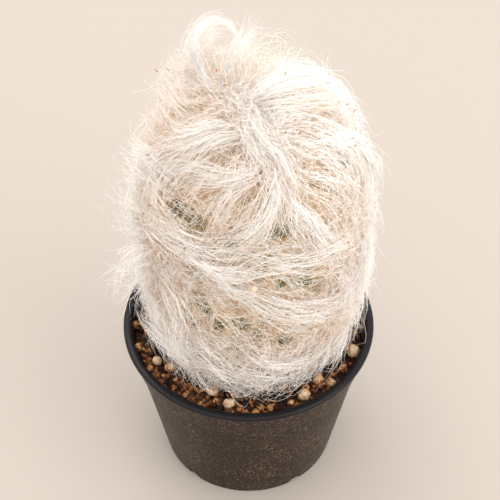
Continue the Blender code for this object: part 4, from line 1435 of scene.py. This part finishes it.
def central_paths(draws):
    """Longer spines: one straight out of most tubercles, and one to each place where a tip shows."""
    paths = []
    for count in range(6, TUBERCLES):
        angle, run = count * GOLDEN_ANGLE, float(run_of(count + 0.5))
        if draws.uniform() < 0.45:
            continue
        out = outward(angle, run) + draws.normal(0.0, 0.25, 3)
        root = place(angle, run, -0.4 * MM)
        size = draws.uniform(5.0, 8.0) * lerp(1.0, 0.4, float(smooth((run - 0.09) / 0.02))) * MM
        paths.append([root, root + out * size * 0.5, root + out * size])
    spots = np.arange(TUBERCLES)
    tips = place(spots * GOLDEN_ANGLE, run_of(spots + 0.5), -0.3 * MM)
    for end in seen_on_plant([(x, y, height + TIP_CLEAR) for x, y, height in TIPS]):
        root = tips[np.argmin(np.linalg.norm(tips - end, axis=1))]
        paths.append([root, lerp(root, end, 0.5), end])
    return np.array(paths)


def spine_finish():
    """The red-brown ends of the spines."""
    made, tree, shader = new_finish("spine_horn", 0.4, 0.5)
    stops = [(0.0, (0.4, 0.12, 0.03)), (0.6, (0.6, 0.26, 0.09))]
    paint(tree, shader, ramp(tree, attribute(tree, "tone"), stops))
    return made


# Operators


class CACTUS_OT_pot(bpy.types.Operator):
    """Make the nursery pot"""

    bl_idname = "cactus.pot"
    bl_label = "Pot"

    def execute(self, context):
        mesh = notched(mesh_of(lathe(pot_profile(), POT_SIDES), "pot_body"))
        mesh.shade_smooth()
        mesh.set_sharp_from_angle(angle=math.radians(50.0))
        add_piece("pot_body", mesh, pot_finish(context.scene.cactus.pot), "pot")
        return {"FINISHED"}


class CACTUS_OT_soil(bpy.types.Operator):
    """Make the potting mix, its loose crumbs and its pebbles"""

    bl_idname = "cactus.soil"
    bl_label = "Soil"

    def execute(self, context):
        settings = context.scene.cactus.soil
        finish = crumb_finish("soil_mix", settings, False)
        add_piece("soil_bed", soil_mesh(), finish, "soil")
        draws = random.Random(SEED + 4)
        crumbs = joined(crumb_grains(draws, settings.crumbs), "soil_crumbs")
        add_piece("soil_crumbs", crumbs, finish, "soil")
        pebbles = joined(pebble_grains(draws), "soil_pebbles")
        finish = crumb_finish("pebble_stone", settings, True)
        add_piece("soil_pebbles", pebbles, finish, "soil")
        return {"FINISHED"}


class CACTUS_OT_stem(bpy.types.Operator):
    """Make the stem with its tubercles and spines"""

    bl_idname = "cactus.stem"
    bl_label = "Stem and spines"

    def execute(self, context):
        settings = context.scene.cactus.stem
        add_piece("stem_body", stem_mesh(), stem_finish(settings), "stem")
        draws = np.random.default_rng(SEED + 5)
        paths = star_paths(draws, settings.radial_spines, settings.spine_length)
        tones = draws.normal(0.72, 0.12, (len(paths), 1)) * np.array([[0.8, 1.0, 1.1]])
        tones = np.clip(tones, 0.0, 1.0)
        finish = hair_finish(context.scene.cactus.hair)
        kept = sparse(paths, draws, share=0.9)
        grow("radial_spines", paths[kept], tones[kept], finish, BRISTLE_WIDTH, "stem", "stem_skin")
        paths = central_paths(draws)
        tones = np.full(paths.shape[:2], 0.8)
        grow("central_spines", paths, tones, finish, SPINE_WIDTH, "stem", "stem_skin")
        shown = np.arange(len(paths)) >= len(paths) - len(TIPS)
        paths = paths[shown | (paths[:, 2, 1] > BACK_TIPS)]
        way = unit(paths[:, 2] - paths[:, 1])[:, None, :]
        ends = paths[:, 2:] - way * TIP_LENGTH * np.array((1.0, 0.7, 0.3, 0.0))[:, None]
        tones = np.tile(np.array((0.6, 0.5, 0.2, 0.0)), (len(ends), 1))
        grow("spine_tips", ends, tones, spine_finish(), TIP_WIDTH, "stem", "stem_skin")
        return {"FINISHED"}


class CACTUS_OT_down(bpy.types.Operator):
    """Make the short curly hair near the skin"""

    bl_idname = "cactus.down"
    bl_label = "Down"

    def execute(self, context):
        settings = context.scene.cactus.hair
        draws = np.random.default_rng(SEED + 6)
        angle, run = scatter(draws, settings.down)
        turn = draws.uniform(0.0, math.tau, len(angle))
        curl = draws.normal(0.0, 1.8, len(angle))
        length = draws.uniform(*DOWN_LENGTH, len(angle)) * MM
        angles, runs = walk(draws, angle, run, turn, curl, length, len(DOWN_RISE), roam=0.5)
        high = draws.uniform(*DOWN_HEIGHT, len(angle)) * MM
        rise = high[:, None] * DOWN_RISE
        rise[:, 0] -= DOWN_SUNK
        paths = laid(draws, angles, runs, rise, frizz=0.35 * MM, lowest=-2.0 * MM)
        paths = paths[thinned(paths, draws, keep=0.35) & sparse(paths, draws, share=0.85)]
        tones = tones_of(paths, draws, tone=0.7, deep=0.45, vary=0.2, clear=3.5)
        finish = hair_finish(settings)
        grow("down", paths, tones, finish, DOWN_WIDTH)

        spots = seen_on_plant([(x, y, 1.0) for x, y in CROWN_WOOL])
        near = draws.integers(0, len(spots) - 1, CROWN_HAIRS)
        root = lerp(spots[near], spots[near + 1], draws.uniform(size=(CROWN_HAIRS, 1))) - STEM_SHIFT
        root[:, :2] += draws.normal(0.0, CROWN_HAIR_SPREAD, (CROWN_HAIRS, 2))
        angle = np.arctan2(root[:, 1], root[:, 0])
        reach = np.hypot(root[:, 0], root[:, 1])
        run = np.interp(reach, OUTLINE_RADIUS[:CROWN_STEPS], OUTLINE_RUN[:CROWN_STEPS])
        turn = draws.uniform(0.0, math.tau, CROWN_HAIRS)
        length = draws.uniform(*CROWN_HAIR_LENGTH, CROWN_HAIRS) * MM
        curl = draws.normal(0.0, 1.5, CROWN_HAIRS)
        angles, runs = walk(draws, angle, run, turn, curl, length, len(CROWN_HAIR_RISE), roam=0.4)
        high = draws.uniform(*CROWN_HAIR_HEIGHT, CROWN_HAIRS) * MM
        paths = laid(draws, angles, runs, high[:, None] * CROWN_HAIR_RISE, frizz=0.3 * MM)
        tones = tones_of(paths, draws, tone=0.84, deep=0.5)
        grow("crown_wool", paths, tones, finish, settings.thickness)
        return {"FINISHED"}


class CACTUS_OT_veil(bpy.types.Operator):
    """Make the single hairs that lie over the whole stem"""

    bl_idname = "cactus.veil"
    bl_label = "Veil"

    def execute(self, context):
        settings = context.scene.cactus.hair
        finish = hair_finish(settings)
        draws = np.random.default_rng(SEED + 7)
        lots = {"veil_inner": [], "veil_middle": [], "veil_outer": []}
        for layer in range(VEIL_LAYERS):
            field = swirl(draws, draws.uniform(12.0, 26.0) * MM)
            clumps = settings.veil // VEIL_LAYERS // CLUMP
            angle, run = scatter(draws, clumps, 1.5 * MM)
            lower = smooth((run - 30.0 * MM) / (30.0 * MM))
            turn = 0.8 * flow(angle, run) + draws.normal(0.0, 1.0, clumps) * lerp(1.0, 1.6, lower)
            own = np.repeat(np.arange(clumps), CLUMP)
            hairs = len(own)
            near = draws.normal(0.0, CLUMP_SPREAD, (2, hairs)) * MM
            angle = angle[own] + near[0] / np.maximum(radius_at(run[own]), 4.0 * MM)
            run = np.maximum(run[own] + near[1], 0.5 * MM)
            turn = turn[own] + draws.normal(0.0, 0.3, hairs)
            wild = smooth((run - 20.0 * MM) / (35.0 * MM))
            curl = draws.normal(0.0, 0.9, clumps)[own] + draws.normal(0.0, 0.5, hairs)
            curl = curl * lerp(1.0, 2.2, wild)
            length = lerp(1.5, 1.0, wild) * draws.uniform(*VEIL_LENGTH, clumps)[own]
            length = length * draws.uniform(0.7, 1.1, hairs) * MM
            roam = lerp(0.15, 0.7, wild)
            angles, runs = walk(draws, angle, run, turn, curl, length, len(VEIL_RISE), roam, field)
            share = (layer + draws.uniform(0.0, 1.0, clumps)) / VEIL_LAYERS
            level = (lerp(0.15, 1.05, share)[own] + draws.normal(0.0, 0.08, hairs))[:, None]
            rise = level * loft(angles, np.abs(runs), level) * VEIL_RISE
            paths = laid(draws, angles, runs, rise, frizz=lerp(0.08, 0.34, wild) * MM)
            kept = thinned(paths, draws) & sparse(paths, draws, share=0.93)
            # Lower layers get a darker tone: partly older wool, partly painted shade under the upper hair.
            aged_and_shaded_tone = lerp(0.55, 0.85, layer / VEIL_LAYERS) + draws.uniform(-0.12, 0.12, clumps)
            tone = (aged_and_shaded_tone[own] - 0.15 * (1.0 - wild))[kept]
            lot = list(lots.values())[layer * len(lots) // VEIL_LAYERS]
            lot.append((paths[kept], tones_of(paths[kept], draws, tone)))
        for name, lot in lots.items():
            grow(name, *together(lot), finish, settings.thickness)
        return {"FINISHED"}


class CACTUS_OT_locks(bpy.types.Operator):
    """Make the locks that flow over the body and the crown"""

    bl_idname = "cactus.locks"
    bl_label = "Locks"

    def execute(self, context):
        settings = context.scene.cactus.hair
        finish = hair_finish(settings)
        draws = np.random.default_rng(SEED + 8)
        body, crown = solid_lock_routes()
        lots = []
        for route, width in body:
            made = settle(comb(route, draws, BODY_LOCK_HAIRS, 0.8 * width, BODY_LOCK_THICKNESS))
            lots.append((made, tones_of(made, draws, draws.uniform(0.75, 1.0))))
        run = scatter(draws, BACK_LOCKS, 16.0 * MM, RUN_END - 6.0 * MM)[1]
        angle = draws.uniform(-0.4, math.pi + 0.4, BACK_LOCKS)
        turn = flow(angle, run) + draws.normal(0.0, 0.6, BACK_LOCKS)
        length = draws.uniform(*BACK_LOCK_LENGTH, BACK_LOCKS) * MM
        curl = draws.normal(0.0, 1.1, BACK_LOCKS)
        angles, runs = walk(draws, angle, run, turn, curl, length, len(BACK_LOCK_RISE))
        high = draws.uniform(0.5, 1.0, BACK_LOCKS)[:, None] * loft(angles, runs)
        for line in place(angles, runs, high * BACK_LOCK_RISE):
            width = draws.uniform(*BACK_LOCK_WIDTH) * MM
            made = settle(comb(line, draws, BACK_LOCK_HAIRS, width, BACK_LOCK_THICKNESS))
            lots.append((made, tones_of(made, draws, draws.uniform(0.8, 1.05))))
        paths, tones = together(lots)
        kept = thinned(paths, draws) & sparse(paths, draws, share=0.75, depth=16.0 * MM)
        grow("body_locks", paths[kept], tones[kept], finish, settings.thickness)

        lots = []
        for route, width in crown:
            made = comb(route, draws, CROWN_LOCK_HAIRS, width, CROWN_LOCK_THICKNESS, fray=1.3)
            made = settle(pressed(made, CROWN_LOCK_MOST))
            lots.append((made, tones_of(made, draws, draws.uniform(0.85, 1.0))))
        paths, tones = together(lots)
        kept = thinned(paths, draws)
        grow("crown_locks", paths[kept], tones[kept], finish, settings.thickness)

        placed = {"upper_locks": [], "front_locks": []}
        for route, (width, thickness, hairs, tone) in LOCKS.values():
            fray = lerp(1.0, 1.6, float(smooth((route[0][1] - CROWN_LINE) / 90.0)))
            line = seen_on_plant(route)
            made = settle(comb(line, draws, hairs, width * MM, thickness * MM, points=10, fray=fray))
            name = "upper_locks" if route[0][1] < CROWN_LINE else "front_locks"
            placed[name].append((made, tones_of(made, draws, tone, deep=0.6, vary=0.07)))
        for name, lots in placed.items():
            paths, tones = together(lots)
            kept = thinned(paths, draws, keep=0.5)
            grow(name, paths[kept], tones[kept], finish, settings.thickness)
        return {"FINISHED"}


class CACTUS_OT_flyaways(bpy.types.Operator):
    """Make the fringe on the soil and the single hairs that stand off the outline"""

    bl_idname = "cactus.flyaways"
    bl_label = "Fringe and flyaways"

    def execute(self, context):
        settings = context.scene.cactus.hair
        finish = hair_finish(settings)
        draws = np.random.default_rng(SEED + 9)
        angle = draws.uniform(0.0, math.tau, FRINGE_HAIRS)
        run = draws.uniform(*FRINGE_RUN, FRINGE_HAIRS) * MM
        turn = draws.normal(0.0, 1.0, FRINGE_HAIRS)
        curl = draws.normal(0.0, 2.6, FRINGE_HAIRS)
        length = draws.uniform(*FRINGE_LENGTH, FRINGE_HAIRS) * MM
        angles, runs = walk(draws, angle, run, turn, curl, length, len(FRINGE_RISE), roam=0.6)
        high = draws.uniform(*FRINGE_HEIGHT, FRINGE_HAIRS) * MM
        paths = laid(draws, angles, runs, high[:, None] * FRINGE_RISE, frizz=0.4 * MM)
        tones = tones_of(paths, draws, tone=1.0, deep=0.8)
        grow("fringe", paths, tones, finish, settings.thickness)

        angle, run = scatter(draws, TANGLE_HAIRS, TANGLE_START)
        curl = draws.normal(0.0, 3.5, TANGLE_HAIRS)
        turn = draws.uniform(0.0, math.tau, TANGLE_HAIRS)
        length = draws.uniform(*TANGLE_LENGTH, TANGLE_HAIRS) * MM
        angles, runs = walk(draws, angle, run, turn, curl, length, len(TANGLE_RISE), roam=0.6)
        high = draws.uniform(0.6, 1.15, (TANGLE_HAIRS, 1)) * loft(angles, np.abs(runs))
        paths = laid(draws, angles, runs, high * TANGLE_RISE, frizz=0.4 * MM)
        kept = thinned(paths, draws, keep=0.3) & sparse(paths, draws, share=0.5, depth=14.0 * MM)
        paths = paths[kept]
        tones = tones_of(paths, draws, tone=1.0, deep=0.6)
        grow("tangle", paths, tones, finish, settings.thickness * TANGLE_WIDTH)

        angle, run = scatter(draws, FLYAWAYS, FLYAWAY_START)
        turn = draws.uniform(-1.8, 1.8, FLYAWAYS)
        length = draws.uniform(*FLYAWAY_LENGTH, FLYAWAYS) * MM
        angles, runs = walk(draws, angle, run, turn, 0.0, length, len(FLYAWAY_RISE), roam=0.6)
        stray = (4.5 * draws.uniform(size=FLYAWAYS) ** 3.0)[:, None] * MM
        rise = (loft(angles, np.abs(runs)) + stray) * FLYAWAY_RISE
        paths = laid(draws, angles, runs, rise, frizz=0.35 * MM)
        tones = tones_of(paths, draws, tone=0.95, deep=0.6)
        grow("flyaways", paths, tones, finish, settings.thickness * FLYAWAY_WIDTH)
        return {"FINISHED"}


class CACTUS_OT_stage(bpy.types.Operator):
    """Make the floor, the lights and the camera"""

    bl_idname = "cactus.stage"
    bl_label = "Stage"

    def execute(self, context):
        settings = context.scene.cactus.stage
        bm = bmesh.new()
        bmesh.ops.create_grid(bm, x_segments=4, y_segments=4, size=3.0)
        floor = bpy.data.objects.new("floor", mesh_of(bm, "floor"))
        finish, _, shader = new_finish("floor_paper", 0.9, 0.1)
        shader.inputs["Base Color"].default_value = (*settings.floor, 1.0)
        floor.data.materials.append(finish)
        context.scene.collection.objects.link(floor)
        for name, (spot, size, share, tint) in LAMPS.items():
            light = bpy.data.lights.new(name, "AREA")
            light.shape = "DISK"
            light.size = size
            light.energy = settings.key * share
            light.color = tint
            lamp = bpy.data.objects.new(name, light)
            lamp.location = spot
            lamp.rotation_euler = (LAMP_AIM - Vector(spot)).to_track_quat("-Z", "Y").to_euler()
            context.scene.collection.objects.link(lamp)
        world = bpy.data.worlds.new("studio")
        world.use_nodes = True
        background = world.node_tree.nodes["Background"]
        background.inputs["Color"].default_value = SKY_COLOUR
        background.inputs["Strength"].default_value = settings.sky
        context.scene.world = world
        context.scene.view_settings.view_transform = "Standard"
        lens = bpy.data.cameras.new("camera")
        lens.lens = CAMERA_LENS
        lens.sensor_width = SENSOR
        lens.shift_x = CAMERA_SHIFT
        lens.clip_start = 0.01
        camera = bpy.data.objects.new("camera", lens)
        back = Vector((0.0, -math.cos(CAMERA_RISE), math.sin(CAMERA_RISE)))
        camera.location = Vector((0.0, 0.0, TARGET_HEIGHT)) + CAMERA_DISTANCE * back
        camera.rotation_euler = Euler((math.pi / 2 - CAMERA_RISE, 0.0, 0.0))
        context.scene.collection.objects.link(camera)
        context.scene.camera = camera
        return {"FINISHED"}


STEPS = (
    CACTUS_OT_stage,
    CACTUS_OT_pot,
    CACTUS_OT_soil,
    CACTUS_OT_stem,
    CACTUS_OT_down,
    CACTUS_OT_veil,
    CACTUS_OT_locks,
    CACTUS_OT_flyaways,
)


class CACTUS_PT_panel(bpy.types.Panel):
    """Lists the steps that build the cactus"""

    bl_idname = "CACTUS_PT_panel"
    bl_label = "Potted Cactus"
    bl_space_type = "VIEW_3D"
    bl_region_type = "UI"
    bl_category = "Cactus"

    def draw(self, context):
        for group in ("pot", "soil", "stem", "hair", "stage"):
            box = self.layout.box()
            values = getattr(context.scene.cactus, group)
            for key in type(values).__annotations__:
                box.prop(values, key)
        for step in STEPS:
            self.layout.operator(step.bl_idname)


CLASSES = (
    PotSettings,
    SoilSettings,
    StemSettings,
    HairSettings,
    StageSettings,
    CactusSettings,
    *STEPS,
    CACTUS_PT_panel,
)


def register():
    for item in CLASSES:
        bpy.utils.register_class(item)
    bpy.types.Scene.cactus = PointerProperty(type=CactusSettings)


def unregister():
    del bpy.types.Scene.cactus
    for item in reversed(CLASSES):
        bpy.utils.unregister_class(item)


def main():
    register()
    for step in STEPS:
        group, name = step.bl_idname.split(".")
        getattr(getattr(bpy.ops, group), name)()


if __name__ == "__main__":
    main()
